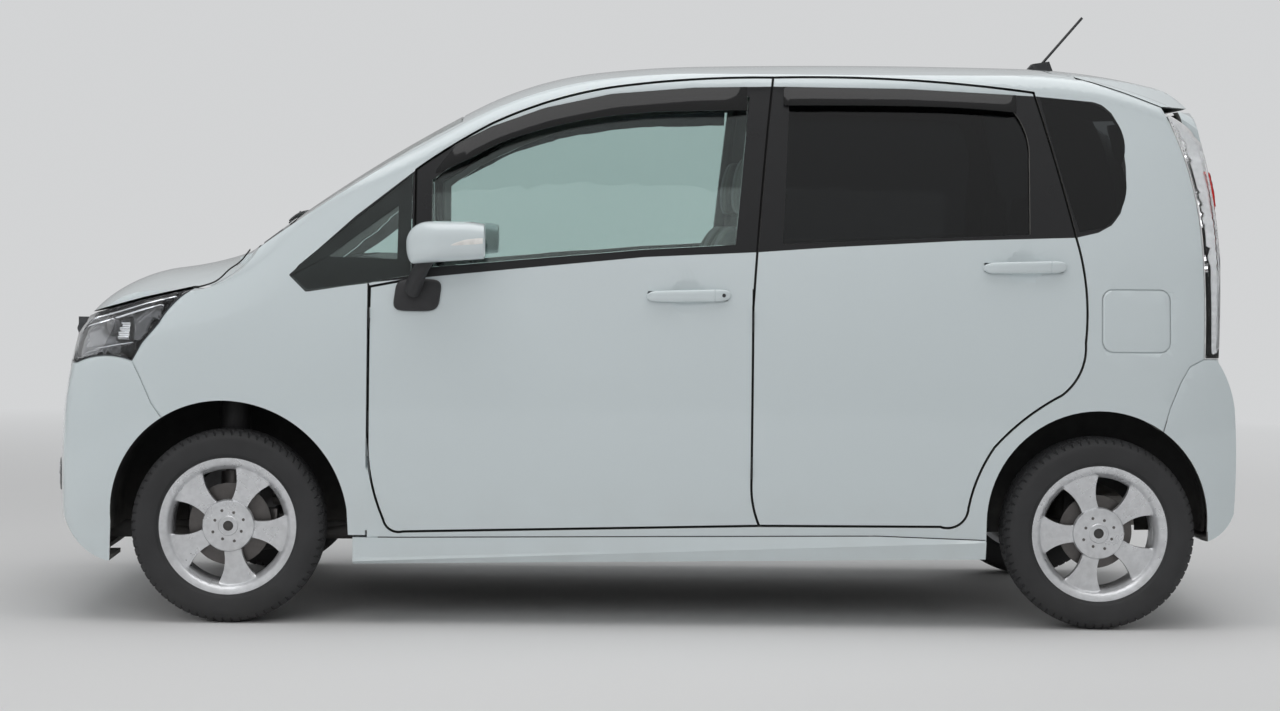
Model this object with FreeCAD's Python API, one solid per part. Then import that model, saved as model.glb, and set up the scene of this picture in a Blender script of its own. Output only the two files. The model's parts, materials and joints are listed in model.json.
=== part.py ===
"""A kei car: a small five-door hatchback with a tall cabin, short hood and 14 inch wheels.

Frame, in millimetres: origin on the ground in the middle of the length and width, +X to the rear,
+Y to the car's right, +Z up. The left side (-Y) is modelled and the right side is its mirror.
Every panel is cut from one outer skin, where a profile lofted across the car meets cross-sections
lofted along it. Panels differ in their outline in side view and in how deep they are.
"""
import FreeCAD
import Part
import math
import os

V = FreeCAD.Vector
os.makedirs("parts", exist_ok=True)

# Overall size
length = 3395.0
wheelbase = 2455.0
front_overhang = 517.0
nose_x = -length / 2
tail_x = length / 2
front_axle_x = nose_x + front_overhang
rear_axle_x = front_axle_x + wheelbase

# Wheels and tyres
tyre_radius = 272.0
tyre_width = 155.0
rim_radius = 192.0
rim_width = 127.0
front_track = 1305.0
rear_track = 1300.0
axle_z = tyre_radius
spoke_count = 5

# Panels and gaps
shut_gap = 7.0
fit = 0.3
groove_width = 4.0
skin = 12.0
hem = 18.0
hem_reach = 26.0
pillar_half = 28.0
pillar_clear = 14.0
hem_clear = 6.0
side_wall = 82.0
frame_wall = 40.0
roof_wall = 26.0
back_wall = 52.0
glass = 5.0

far = 2200.0


def wire_of(points):
    """A closed wire. An entry is a point to go to by a line, or (middle, end) for an arc."""
    edges = []
    start = points[0]
    for item in points[1:] + [points[0]]:
        if isinstance(item, tuple):
            edges.append(Part.Arc(start, item[0], item[1]).toShape())
            start = item[1]
        elif (item - start).Length > 1e-6:
            edges.append(Part.LineSegment(start, item).toShape())
            start = item
    return Part.Wire(edges)


def side_wire(rows):
    """A wire in side view. A row is (x, z) for a line to it, or (mid_x, mid_z, x, z) for an arc."""
    points = []
    for row in rows:
        if len(row) == 2:
            points.append(V(row[0], 0, row[1]))
        else:
            points.append((V(row[0], 0, row[1]), V(row[2], 0, row[3])))
    return wire_of(points)


def plan_wire(rows):
    """A wire in plan, from rows of x and y like those of side_wire."""
    points = []
    for row in rows:
        if len(row) == 2:
            points.append(V(row[0], row[1], 0))
        else:
            points.append((V(row[0], row[1], 0), V(row[2], row[3], 0)))
    return wire_of(points)


def across(wire, y_from=-far, y_to=far):
    """The side view wire as a prism between two values of y."""
    face = Part.Face(wire)
    face.translate(V(0, y_from, 0))
    return face.extrude(V(0, y_to - y_from, 0))


def upright(wire, z_from, z_to):
    """The plan wire as a prism between two heights."""
    face = Part.Face(wire)
    face.translate(V(0, 0, z_from))
    return face.extrude(V(0, 0, z_to - z_from))


def grown(wire, amount):
    return wire.makeOffset2D(amount, join=0)


def box(x0, x1, y0, y1, z0, z1):
    return Part.makeBox(x1 - x0, y1 - y0, z1 - z0, V(x0, y0, z0))


def rod(radius, start, end):
    return Part.makeCylinder(radius, (end - start).Length, start, end - start)


def mirrored(shape):
    return shape.mirror(V(0, 0, 0), V(0, 1, 0))


def both(shape):
    return [shape, mirrored(shape)]


def save(name, *shapes):
    """Writes the solids of the shapes as one node."""
    solids = [solid for shape in shapes for solid in shape.Solids if solid.Volume > 900.0]
    Part.makeCompound(solids).exportStep("parts/%s.step" % name)


# Body profile on the centre line, from the front of the underbody up over the roof to the rear.
# Columns: x, z, how far the point moves back and down at the side of the car, and the bulge of the
# arc that ends there; an arc with no bulge goes on in the direction of the last one.
profile_rows = [
    (-1560.0, 172.0, 30.0, 0.0, 0.0),
    (nose_x + 2.0, 300.0, 48.0, 0.0, 26.0),
    (-1690.0, 600.0, 48.0, 0.0, 5.0),
    (-1650.0, 800.0, 48.0, 0.0, 4.0),
    (-1400.0, 985.0, 44.0, 50.0, 40.0),
    (-1130.0, 1056.0, 26.0, 3.0, None),
    (-509.0, 1470.0, 28.0, 46.0, 18.6),
    (-150.0, 1583.0, 20.0, 56.0, None),
    (150.0, 1606.0, 10.0, 60.0, None),
    (1100.0, 1612.0, 0.0, 62.0, None),
    (1470.0, 1566.0, -20.0, 60.0, None),
    (1562.0, 1496.0, -24.0, 40.0, 12.0),
    (1641.0, 1050.0, -26.0, 0.0, 12.0),
    (1640.0, 760.0, -26.0, 0.0, 2.0),
    (1690.0, 625.0, -26.0, 0.0, 8.0),
    (tail_x - 2.0, 330.0, -28.0, 0.0, 5.0),
    (1600.0, 246.0, -34.0, 0.0, 20.0),
]
profile_edge_y = 650.0
profile_stations = (-760.0, -620.0, -420.0, 0.0, 420.0, 620.0, 760.0)

# Cross-sections along the car. Columns: x, half widths at sill, waist, belt and rail, the heights of
# belt and rail, and the radius of the rail corner.
section_rows = [
    (-1760.0, 510.0, 520.0, 480.0, 440.0, 700.0, 760.0, 60.0),
    (-1690.0, 590.0, 600.0, 575.0, 545.0, 700.0, 770.0, 60.0),
    (-1610.0, 668.0, 680.0, 652.0, 622.0, 740.0, 815.0, 65.0),
    (-1500.0, 702.0, 717.0, 700.0, 668.0, 780.0, 870.0, 70.0),
    (-1330.0, 718.0, 735.0, 722.0, 690.0, 820.0, 920.0, 75.0),
    (-1130.0, 722.0, 736.2, 718.0, 692.0, 880.0, 985.0, 70.0),
    (-960.0, 719.0, 735.0, 704.0, 672.0, 990.0, 1130.0, 50.0),
    (-700.0, 716.0, 733.0, 697.0, 650.0, 1050.0, 1270.0, 50.0),
    (-430.0, 715.0, 732.0, 696.0, 612.0, 1050.0, 1410.0, 55.0),
    (-120.0, 716.0, 733.0, 697.0, 592.0, 1050.0, 1490.0, 60.0),
    (300.0, 716.0, 733.0, 698.0, 588.0, 1050.0, 1512.0, 62.0),
    (1000.0, 720.0, 735.0, 694.0, 584.0, 1050.0, 1512.0, 62.0),
    (1280.0, 722.0, 736.2, 688.0, 578.0, 1050.0, 1490.0, 62.0),
    (1480.0, 714.0, 726.0, 674.0, 574.0, 1050.0, 1430.0, 60.0),
    (1600.0, 690.0, 702.0, 650.0, 556.0, 1050.0, 1380.0, 60.0),
    (1760.0, 590.0, 600.0, 560.0, 490.0, 1050.0, 1330.0, 60.0),
]
sill_z = 120.0
waist_z = 560.0
lid_rise = 200.0


def profile_wire(y, inset):
    """The body profile at y, with every point moved inward by inset."""
    share = abs(y) / profile_edge_y
    spots = [(x + back * share ** 4, z - down * share ** 2) for x, z, back, down, bulge in profile_rows]
    moved = []
    for i, (x, z) in enumerate(spots):
        before = spots[i - 1]
        after = spots[(i + 1) % len(spots)]
        run = math.hypot(after[0] - before[0], after[1] - before[1])
        x_in = inset * (after[1] - before[1]) / run
        z_in = inset * (after[0] - before[0]) / run
        moved.append(V(x + x_in, y, z - z_in))
    edges = []
    heading = None
    for start, end, row in zip(moved, moved[1:], profile_rows[1:]):
        chord = math.atan2(end.z - start.z, end.x - start.x)
        span = (end - start).Length
        half_turn = chord - heading if row[4] is None else -4.0 * row[4] / span
        heading = chord + half_turn
        bulge = -span / 2 * math.tan(half_turn / 2)
        middle = (start + end) * 0.5 + V(-math.sin(chord), 0, math.cos(chord)) * bulge
        edges.append(Part.Arc(start, middle, end).toShape())
    edges.append(Part.LineSegment(moved[-1], moved[0]).toShape())
    return Part.Wire(edges)


def section_wire(row, inset_low, inset_high):
    """A closed cross-section: sides, rail corners and a low ridge over them."""
    x, sill, waist, belt, rail, belt_z, rail_z, corner = row
    sill -= inset_low
    waist -= inset_low
    belt -= (inset_low + inset_high) / 2
    rail -= inset_high
    rail_z -= inset_high
    lean = 0.72 * corner
    right = [
        V(x, sill, sill_z),
        (V(x, waist, waist_z), V(x, belt, belt_z)),
        (V(x, (belt + rail) / 2 + 0.015 * (rail_z - belt_z), (belt_z + rail_z) / 2), V(x, rail, rail_z)),
        (V(x, rail - 0.32 * corner, rail_z + lean), V(x, rail - corner, rail_z + corner)),
        V(x, 0, rail_z + corner + lid_rise),
    ]
    left = [
        V(x, corner - rail, rail_z + corner),
        (V(x, 0.32 * corner - rail, rail_z + lean), V(x, -rail, rail_z)),
        (V(x, -(belt + rail) / 2 - 0.015 * (rail_z - belt_z), (belt_z + rail_z) / 2), V(x, -belt, belt_z)),
        (V(x, -waist, waist_z), V(x, -sill, sill_z)),
    ]
    return wire_of(right + left)


def envelope(inset=0.0, inset_low=None, inset_high=None):
    """The whole body as one solid, moved inward by the insets."""
    low = inset if inset_low is None else inset_low
    high = inset if inset_high is None else inset_high
    lengthwise = Part.makeLoft([profile_wire(y, inset) for y in profile_stations], True)
    crosswise = Part.makeLoft([section_wire(row, low, high) for row in section_rows], True)
    return lengthwise.common(crosswise)


# Outlines in side view
rear_hinge_x = 286.5
b_seam = [
    (343.0, 1552.0),
    (308.0, 1200.0, rear_hinge_x, 900.0),
    (rear_hinge_x, 400.0),
    (293.0, 340.0, 310.0, 288.0),
]
front_door_rows = b_seam + [
    (-690.0, 263.0),
    (-728.0, 270.0, -745.0, 297.0),
    (-776.0, 392.0, -790.0, 520.0),
    (-790.0, 820.0),
    (-788.0, 948.0),
    (-664.0, 972.0),
    (-664.0, 1277.0),
    (-565.0, 1345.0, -454.0, 1410.0),
    (-304.0, 1471.0, -116.0, 1518.0),
    (119.0, 1544.0, 343.0, 1552.0),
]
rear_door_rows = b_seam + [
    (821.0, 290.0),
    (880.0, 302.0, 899.0, 344.0),
    (926.0, 436.0, 969.0, 516.0),
    (1048.0, 592.0, 1157.0, 664.0),
    (1206.0, 722.0, 1224.0, 811.0),
    (1226.0, 960.0, 1198.0, 1109.0),
    (1135.0, 1350.0, 1086.0, 1518.0),
    (720.0, 1550.0, 343.0, 1552.0),
]
front_window_rows = [
    (-618.0, 1004.0),
    (-618.0, 1250.0),
    (-532.0, 1310.0, -430.0, 1362.0),
    (-280.0, 1424.0, -110.0, 1464.0),
    (80.0, 1488.0, 276.0, 1496.0),
    (236.0, 1076.0),
    (-19.0, 1060.0),
]
rear_window_rows = [
    (389.0, 1496.0),
    (700.0, 1494.0, 1020.0, 1472.0),
    (1062.0, 1400.0, 1070.0, 1330.0),
    (1068.0, 1114.0),
    (369.0, 1080.0),
]
quarter_window_rows = [
    (1209.0, 1122.0),
    (1150.0, 1320.0, 1104.0, 1504.0),
    (1180.0, 1500.0, 1259.0, 1488.0),
    (1322.0, 1440.0, 1334.0, 1315.0),
    (1334.0, 1200.0, 1279.0, 1136.0),
]
corner_window_rows = [
    (-1012.0, 975.0),
    (-965.0, 934.0),
    (-795.0, 957.0),
    (-672.0, 981.0),
    (-672.0, 1267.0),
    (-830.0, 1138.0, -988.0, 1006.0),
]
front_arch_rows = [
    (-1514.0, 100.0),
    (-1508.0, 285.0),
    (-1432.0, 519.0, -1190.0, 626.0),
    (-962.0, 536.0, -847.0, 324.0),
    (-834.0, 100.0),
]
rear_arch_rows = [
    (951.0, 100.0),
    (951.0, 306.0),
    (1266.0, 621.0, 1581.0, 306.0),
    (1581.0, 100.0),
]
lamp_top_rows = [(-1760.0, 836.0), (-1612.0, 851.0), (-1419.0, 905.0), (-1284.0, 936.0)]
lamp_rows = lamp_top_rows + [
    (-1338.0, 892.0, -1376.0, 838.0),
    (-1422.0, 783.0),
    (-1449.0, 733.0),
    (-1530.0, 746.0, -1612.0, 724.0),
    (-1760.0, 724.0),
]
hood_rows = lamp_top_rows + [(-1160.0, 940.0), (-1000.0, 940.0), (-1000.0, 1300.0), (-1760.0, 1300.0)]
bumper_seam_rows = [(-1427.0, 691.0), (-1393.0, 616.0), (-1360.0, 570.0)]
front_bumper_rows = [
    (-1760.0, 724.0),
    (-1612.0, 724.0),
    (-1530.0, 746.0, -1449.0, 733.0),
] + bumper_seam_rows + [
    (-1300.0, 400.0),
    (-1514.0, 100.0),
    (-1760.0, 100.0),
]
fender_rows = [
    (-1284.0, 936.0),
    (-1338.0, 892.0, -1376.0, 838.0),
    (-1422.0, 783.0),
    (-1449.0, 733.0),
] + bumper_seam_rows + [
    (-1180.0, 400.0),
    (-880.0, 252.0),
    (-795.0, 252.0),
    (-795.0, 957.0),
    (-965.0, 934.0),
    (-1012.0, 975.0),
    (-1066.0, 1062.0),
    (-1066.0, 1120.0),
    (-1284.0, 1120.0),
]
tail_lamp_edge = [(1458.0, 1482.0), (1520.0, 1330.0, 1563.0, 1074.0), (1567.0, 920.0, 1564.0, 768.0)]
rear_seam_rows = [(1564.0, 768.0), (1522.0, 747.0), (1496.0, 703.0), (1465.0, 630.0), (1445.0, 560.0)]
spoiler_edge = [(1215.0, 1700.0), (1215.0, 1566.0), (1353.0, 1521.0), (1458.0, 1482.0)]
side_frame_rows = [
    (-1066.0, 1062.0),
    (-1012.0, 975.0),
    (-965.0, 934.0),
    (-795.0, 957.0),
    (-790.0, 957.0),
    (-790.0, 205.0),
    (900.0, 205.0),
    (1300.0, 300.0),
] + rear_seam_rows[::-1] + [
    (1567.0, 920.0, 1563.0, 1074.0),
    (1520.0, 1330.0, 1458.0, 1482.0),
    (1353.0, 1521.0),
    (1215.0, 1566.0),
    (1215.0, 1700.0),
    (-1066.0, 1700.0),
]
tail_lamp_rows = tail_lamp_edge + [(1760.0, 768.0), (1760.0, 1482.0)]
rear_bumper_rows = rear_seam_rows + [
    (1300.0, 400.0),
    (1581.0, 280.0),
    (1590.0, 100.0),
    (1760.0, 100.0),
    (1760.0, 768.0),
]
spoiler_rows = spoiler_edge + [(1760.0, 1482.0), (1760.0, 1700.0)]
back_door_rows = [
    (1580.0, 772.0),
    (1760.0, 772.0),
    (1760.0, 1470.0),
    (1508.0, 1470.0),
    (1558.0, 1250.0, 1578.0, 1074.0),
]

# The fuel door, on the left rear quarter only
fuel_door_rows = [
    (1301.0, 786.0),
    (1435.0, 786.0),
    (1456.2, 794.8, 1465.0, 816.0),
    (1465.0, 932.0),
    (1456.2, 953.2, 1435.0, 962.0),
    (1301.0, 962.0),
    (1279.8, 953.2, 1271.0, 932.0),
    (1271.0, 816.0),
    (1279.8, 794.8, 1301.0, 786.0),
]

# Outlines in plan and from behind
roof_half = 532.0
lamp_inner_y = 395.0
tail_lamp_y = 566.0
header_x = -540.0
# Columns: x, half width of the hood
hood_edge_rows = [
    (-1096.0, 668.0),
    (-1184.0, 672.0),
    (-1223.0, 683.0),
    (-1284.0, 690.0),
    (-1400.0, 800.0),
    (-1900.0, 800.0),
]
hood_rear_mid_x = -1126.0
windscreen_rows = [
    (-1040.0, -632.0),
    (-1072.0, 0.0, -1040.0, 632.0),
    (header_x, 540.0),
    (header_x - 12.0, 0.0, header_x, -540.0),
]
back_window_half = 470.0
back_window_z = (1120.0, 1436.0)

# Hinges: each has a knuckle and pin on the body, and a knuckle on the door
knuckle_radius = 2.7
pin_radius = 1.3
leaf_thick = 1.8
leaf_gap = 0.5
leaf_reach = 62.0
knuckle_length = 30.0
side_hinge_low = V(0, -735.5, 400.0)
side_hinge_high = V(0, -720.5, 850.0)
front_hinge_x = -790.0
back_hinge_low = V(1638.0, 562.5, 850.0)
back_hinge_high = V(1614.0, 562.5, 1250.0)
hood_hinge_x = -1050.0
hood_hinge_z = 1038.0
hood_hinge_y = 606.0
hood_arm = 12.0
hood_arm_rows = [
    (-1160.0, 1006.0),
    (-1160.0, 1024.0),
    (-1120.0, 1040.0),
    (-1110.0, 1048.0),
    (-1050.0, 1048.0),
    (-1050.0, 1028.0),
    (-1110.0, 1026.0),
]
hood_rear_gap = 12.0

# Hollows behind the door handles
well_radius = 54.0
well_depth = 10.0
well_ball = (well_radius ** 2 + well_depth ** 2) / (2.0 * well_depth)

# Bolt holes of the number plates
plate_bolt_y = (-105.0, 105.0)
plate_bolt_radius = 3.5
front_plate_z = 605.0
rear_plate_z = 990.0

outer = envelope()
half_space = box(-far, far, -far, -1.0, -100.0, far)
depth_glass = envelope(glass)
depth_skin = envelope(skin)
depth_hem = envelope(hem)
depth_wall = envelope(roof_wall, side_wall, frame_wall)
depth_back = outer.translated(V(-back_wall, 0, 0))

left_outer = outer.common(half_space)
skin_left = left_outer.cut(depth_skin)
hem_left = left_outer.cut(depth_hem)
wall_left = left_outer.cut(depth_wall)
hem_inner = depth_hem.common(half_space)
deep_left = hem_inner.cut(depth_wall)
shell_glass = outer.cut(depth_glass)
shell_skin = outer.cut(depth_skin)
shell_hem = outer.cut(depth_hem)
shell_wall = outer.cut(depth_wall)

front_arch = side_wire(front_arch_rows)
rear_arch = side_wire(rear_arch_rows)

# Grooves where fixed panels meet
groove_wires = [
    side_wire(lamp_rows),
    side_wire(front_bumper_rows),
    side_wire(tail_lamp_rows),
    side_wire(rear_bumper_rows),
    side_wire(spoiler_rows),
]
groove_tool = None
for wire in groove_wires:
    strip = across(grown(wire, groove_width / 2)).cut(across(grown(wire, -groove_width / 2)))
    groove_tool = strip if groove_tool is None else groove_tool.fuse(strip)
groove_tool = groove_tool.cut(box(-1560.0, -1300.0, -far, far, 0.0, 560.0))
grooves = shell_glass.common(groove_tool)

front_door_wire = side_wire(front_door_rows)
rear_door_wire = side_wire(rear_door_rows)
hole_front = across(grown(front_door_wire, shut_gap / 2), -far, 0)
hole_rear = across(grown(rear_door_wire, shut_gap / 2), -far, 0)


def side_hinge(x, z):
    """A hinge of a side door at this height: the body's solid and the door's solid."""
    slope = (side_hinge_high - side_hinge_low) * (1.0 / (side_hinge_high.z - side_hinge_low.z))
    low = side_hinge_low + slope * (z - side_hinge_low.z) + V(x, 0, 0)
    middle = low + slope * knuckle_length
    high = middle + slope * knuckle_length
    body_leaf = box(x - leaf_gap - leaf_thick, x - leaf_gap, low.y, low.y + leaf_reach, z, middle.z)
    body = rod(knuckle_radius, low, middle).fuse(body_leaf).fuse(rod(pin_radius, low, high))
    foot_y = low.y + hem - 2.0
    foot_z = middle.z + fit
    door_leaf = box(x + leaf_gap, x + leaf_gap + leaf_thick, low.y, foot_y, foot_z, high.z)
    door_leaf = door_leaf.fuse(box(x + leaf_gap, x + 16.0, low.y + 6.0, foot_y, foot_z, high.z))
    moving = rod(knuckle_radius, middle + slope * fit, high).fuse(door_leaf)
    return body, moving.cut(rod(pin_radius + fit, low, high + slope * 9.0))


def back_hinge(z):
    """A hinge of the back door at this height: the body's solid and the door's solid."""
    slope = (back_hinge_high - back_hinge_low) * (1.0 / (back_hinge_high.z - back_hinge_low.z))
    low = back_hinge_low + slope * (z - back_hinge_low.z)
    middle = low + slope * knuckle_length
    high = middle + slope * knuckle_length
    y = low.y
    body_leaf = box(low.x - 24.0, low.x, y + leaf_gap, y + leaf_gap + leaf_thick, z, middle.z)
    body_leaf = body_leaf.fuse(box(low.x - 22.0, low.x - 6.0, y + leaf_gap, y + 16.0, z, middle.z))
    body = rod(knuckle_radius, low, middle).fuse(body_leaf).fuse(rod(pin_radius, low, high))
    foot_z = middle.z + fit
    door_leaf = box(low.x - 22.0, low.x, y - leaf_gap - leaf_thick, y - leaf_gap, foot_z, high.z)
    door_leaf = door_leaf.fuse(box(low.x - 20.0, low.x - 6.0, y - 16.0, y - leaf_gap, foot_z, high.z))
    moving = rod(knuckle_radius, middle + slope * fit, high).fuse(door_leaf)
    return body, moving.cut(rod(pin_radius + fit, low, high + slope * 9.0))


front_hinge_heights = (540.0, 830.0)
rear_hinge_heights = (420.0, 830.0)
back_hinge_heights = (835.0, 1030.0)
front_hinges = [side_hinge(front_hinge_x, z) for z in front_hinge_heights]
rear_hinges = [side_hinge(rear_hinge_x, z) for z in rear_hinge_heights]
back_hinges = [back_hinge(z) for z in back_hinge_heights]


def seam_box(half, low=-50.0):
    """A strip of this half width that follows the seam between the doors."""
    rows = [(x + half, z) if len(row) == 2 else (row[0] + half, row[1], x + half, z)
            for row in b_seam for x, z in [row[-2:]]]
    front = [(310.0 - half, 288.0), (293.0 - half, 340.0, rear_hinge_x - half, 400.0),
             (rear_hinge_x - half, 900.0), (308.0 - half, 1200.0, 343.0 - half, 1552.0)]
    wire = side_wire([(343.0 + half, 1640.0)] + rows + [(310.0 + half, 210.0), (310.0 - half, 210.0)]
                     + front + [(343.0 - half, 1640.0)])
    return across(wire, -far, 0)


pillar_hole = seam_box(pillar_half + pillar_clear)


def skin_y(x, z):
    """Where the outer skin of the left side is at this place of the side view."""
    probe = Part.LineSegment(V(x, -far, z), V(x, -1.0, z)).toShape()
    return outer.common(probe).BoundBox.YMin


def handle_well(x, z):
    """A ball that cuts a shallow hollow into the left side at this place."""
    lean = math.atan2(skin_y(x, z + 30.0) - skin_y(x, z - 30.0), 60.0)
    out = V(0, -math.cos(lean), math.sin(lean))
    return Part.makeSphere(well_ball, V(x, skin_y(x, z), z) + out * (well_ball - well_depth))


def door(name, wire, window_rows, hinges, handle_x, handle_z):
    """A door: a hem layer over its whole outline and a deeper layer set back from its edge."""
    hem_layer = hem_left.common(across(grown(wire, -shut_gap / 2), -far, 0))
    deep = deep_left.common(across(grown(wire, -hem_reach), -far, 0)).cut(pillar_hole)
    window = across(side_wire(window_rows), -far, 0)
    panel = hem_layer.fuse(deep).cut(window).cut(box(-far, far, -roof_half - shut_gap, 0.0, 1300.0, far))
    x0, x1 = handle_x
    panel = panel.cut(handle_well((x0 + x1) / 2, handle_z))
    y_skin = -702.0 if handle_z < 1000.0 else -692.0
    grip = across(side_wire([(x0, handle_z - 14), (x0 + 20, handle_z - 22), (x1 - 20, handle_z - 10),
                             (x1, handle_z + 4), (x1 - 6, handle_z + 24), (x0 + 12, handle_z + 14)]),
                  y_skin - 34.0, y_skin - 18.0)
    for foot_x in (x0 + 26.0, x1 - 26.0):
        foot = box(foot_x - 22, foot_x + 18, y_skin - 30, y_skin + 14, handle_z - 12, handle_z + 14)
        grip = grip.fuse(foot)
    panel = panel.fuse([grip] + [moving for body, moving in hinges])
    pane = depth_skin.cut(depth_hem).common(across(grown(side_wire(window_rows), -fit), -far, 0))
    save("door_%s_left" % name, panel)
    save("door_%s_right" % name, mirrored(panel))
    save("door_glass_%s_left" % name, pane)
    save("door_glass_%s_right" % name, mirrored(pane))


door("front", front_door_wire, front_window_rows, front_hinges, (-14.0, 223.0), 930.0)
door("rear", rear_door_wire, rear_window_rows, rear_hinges, (933.0, 1169.0), 1020.0)

# Body side: pillars, sill, cant rail and rear quarter
windscreen_wire = plan_wire(windscreen_rows)
windscreen_tool = upright(windscreen_wire, 900.0, far)
hood_corner = hood_edge_rows[0]
hood_plan_wire = plan_wire([(x, -half) for x, half in hood_edge_rows[::-1]]
                           + [(hood_rear_mid_x, 0.0, hood_corner[0], hood_corner[1])] + hood_edge_rows[1:])
hood_plan = upright(hood_plan_wire, 700.0, far)
side_region = across(side_wire(side_frame_rows), -far, -1.0)
cowl_zone = box(-1150.0, -1000.0, -640.0, 640.0, 900.0, far)
frame = wall_left.common(side_region)
frame = frame.cut(hole_front).cut(hole_rear)
pillar = deep_left.common(seam_box(pillar_half))
pillar = pillar.common(pillar.translated(V(0, hem_clear, 0)))
hinge_pillar = deep_left.common(box(-824.0, -776.0, -far, 0.0, 250.0, 950.0))
hinge_pillar = hinge_pillar.common(hinge_pillar.translated(V(0, hem_clear, 0)))
frame = frame.fuse([pillar, hinge_pillar] + [body for body, moving in front_hinges + rear_hinges])
corner_wire = side_wire(corner_window_rows)
frame = frame.cut(across(side_wire(quarter_window_rows), -far, 0)).cut(across(corner_wire, -far, 0))
frame = frame.cut(across(rear_arch, -far, 0)).cut(across(grown(front_arch, 12.0), -far, 0))
keep_out = box(-far, far, -roof_half, 0.0, 1300.0, far)
back_door_wire = side_wire(back_door_rows)
back_door_hole = across(grown(back_door_wire, shut_gap), -tail_lamp_y, tail_lamp_y)
frame = frame.cut(keep_out).cut(windscreen_tool).cut(cowl_zone).cut(back_door_hole)
frame = frame.cut(box(-far, 1500.0, -560.0, 0.0, 0.0, 560.0)).cut(grooves)
fuel_door_wire = side_wire(fuel_door_rows)
fuel_ring = across(grown(fuel_door_wire, groove_width / 2), -far, 0)
fuel_ring = fuel_ring.cut(across(grown(fuel_door_wire, -groove_width / 2), -far, 0))
save("side_frame_left", frame.cut(shell_glass.common(fuel_ring)))
save("side_frame_right", mirrored(frame))

fender = skin_left.common(across(side_wire(fender_rows), -far, -1.0))
fender = fender.cut(across(front_arch, -far, 0)).cut(hood_plan.common(across(side_wire(hood_rows))))
fender = fender.cut(cowl_zone).cut(grooves)
fender = fender.common(box(-far, far, -far, -480.0, 0.0, far))
save("fender_left", fender)
save("fender_right", mirrored(fender))

hood_wire = side_wire(hood_rows)
hood = shell_hem.common(across(grown(hood_wire, -shut_gap)))
hood = hood.common(upright(grown(hood_plan_wire, -shut_gap), 700.0, far))
for side in (-1, 1):
    y = side * hood_hinge_y
    pin_left = V(hood_hinge_x, y - hood_arm / 2, hood_hinge_z)
    pin_right = V(hood_hinge_x, y + hood_arm / 2, hood_hinge_z)
    arm = across(side_wire(hood_arm_rows), y - hood_arm / 2, y + hood_arm / 2)
    arm = arm.fuse(rod(10.0, pin_left, pin_right))
    hood = hood.fuse(arm.cut(rod(4.0 + fit, pin_left - V(0, 100.0, 0), pin_right + V(0, 100.0, 0))))
save("hood", hood)

cowl_front = hood_corner[0] + hood_rear_gap - shut_gap
cowl_mid = hood_rear_mid_x + hood_rear_gap - shut_gap
cowl_wire = plan_wire([(cowl_front, -639.7), (cowl_mid, 0.0, cowl_front, 639.7),
                       (-1040.3, 632.0), (-1072.3, 0.0, -1040.3, -632.0)])
cowl = shell_skin.common(upright(cowl_wire, 960.0, far))
cowl = cowl.fuse(depth_glass.common(box(-1066.0, -1044.0, -590.0, 590.0, 1000.0, far)))
firewall = across(side_wire([(-812.0, 255.0), (-812.0, 660.0), (-1050.0, 676.0), (-1050.0, 1020.0),
                             (-1030.0, 1020.0), (-1030.0, 694.0), (-794.0, 680.0), (-794.0, 255.0)]),
                  -622.0, 622.0).common(depth_wall)
bulkhead = firewall.fuse(cowl)
for side in (-1, 1):
    y = side * hood_hinge_y
    notch_half = hood_arm / 2 + 5.0
    notch = box(-1120.0, -1062.0, y - notch_half, y + notch_half, 1021.0, far)
    notch = notch.fuse(box(-1062.0, hood_hinge_x + 16.0, y - notch_half, y + notch_half, 1021.0, 1066.0))
    bulkhead = bulkhead.cut(notch)
    for ear in (-1, 1):
        ear_y = y + ear * (hood_arm / 2 + 3.3)
        bulkhead = bulkhead.fuse(box(-1062.0, -1038.0, ear_y - 3.0, ear_y + 3.0, 1000.0, 1050.0))
    bulkhead = bulkhead.fuse(rod(4.0, V(hood_hinge_x, y - hood_arm / 2 - 1.0, hood_hinge_z),
                                 V(hood_hinge_x, y + hood_arm / 2 + 1.0, hood_hinge_z)))
save("bulkhead", bulkhead)

windscreen = shell_glass.common(upright(grown(windscreen_wire, -fit), 900.0, far))
save("windscreen", windscreen)

roof = shell_wall.common(box(header_x, 1215.0, -roof_half, roof_half, 1000.0, far))
save("roof", roof.cut(grooves))

spoiler = shell_wall.common(across(side_wire(spoiler_rows))).cut(grooves)
save("spoiler", spoiler)

lamp_zone = box(-far, -1000.0, -far, -lamp_inner_y, 0.0, far)
lamp = shell_wall.common(across(side_wire(lamp_rows))).common(lamp_zone).cut(grooves)
save("headlamps", *both(lamp))

grille_zone = across(side_wire(lamp_rows)).common(box(-far, -1500.0, -lamp_inner_y, lamp_inner_y, 0.0, far))
upper_grille = shell_hem.common(grille_zone)
slots = []
for z in (752.0, 776.0, 800.0):
    slots.append(box(-far, -1500.0, -370.0, 370.0, z, z + 14.0))
for slot in slots:
    upper_grille = upper_grille.cut(slot)
lower_bars = []
for z in (262.0, 300.0, 338.0, 376.0):
    lower_bars.append(box(-far, -1640.0, -360.0, 360.0, z, z + 12.0))
lower_bars.append(box(-far, -1640.0, -8.0, 8.0, 240.0, 410.0))
lower_grille = lower_bars[0]
for bar in lower_bars[1:]:
    lower_grille = lower_grille.fuse(bar)
lower_grille = depth_skin.common(lower_grille)

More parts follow.
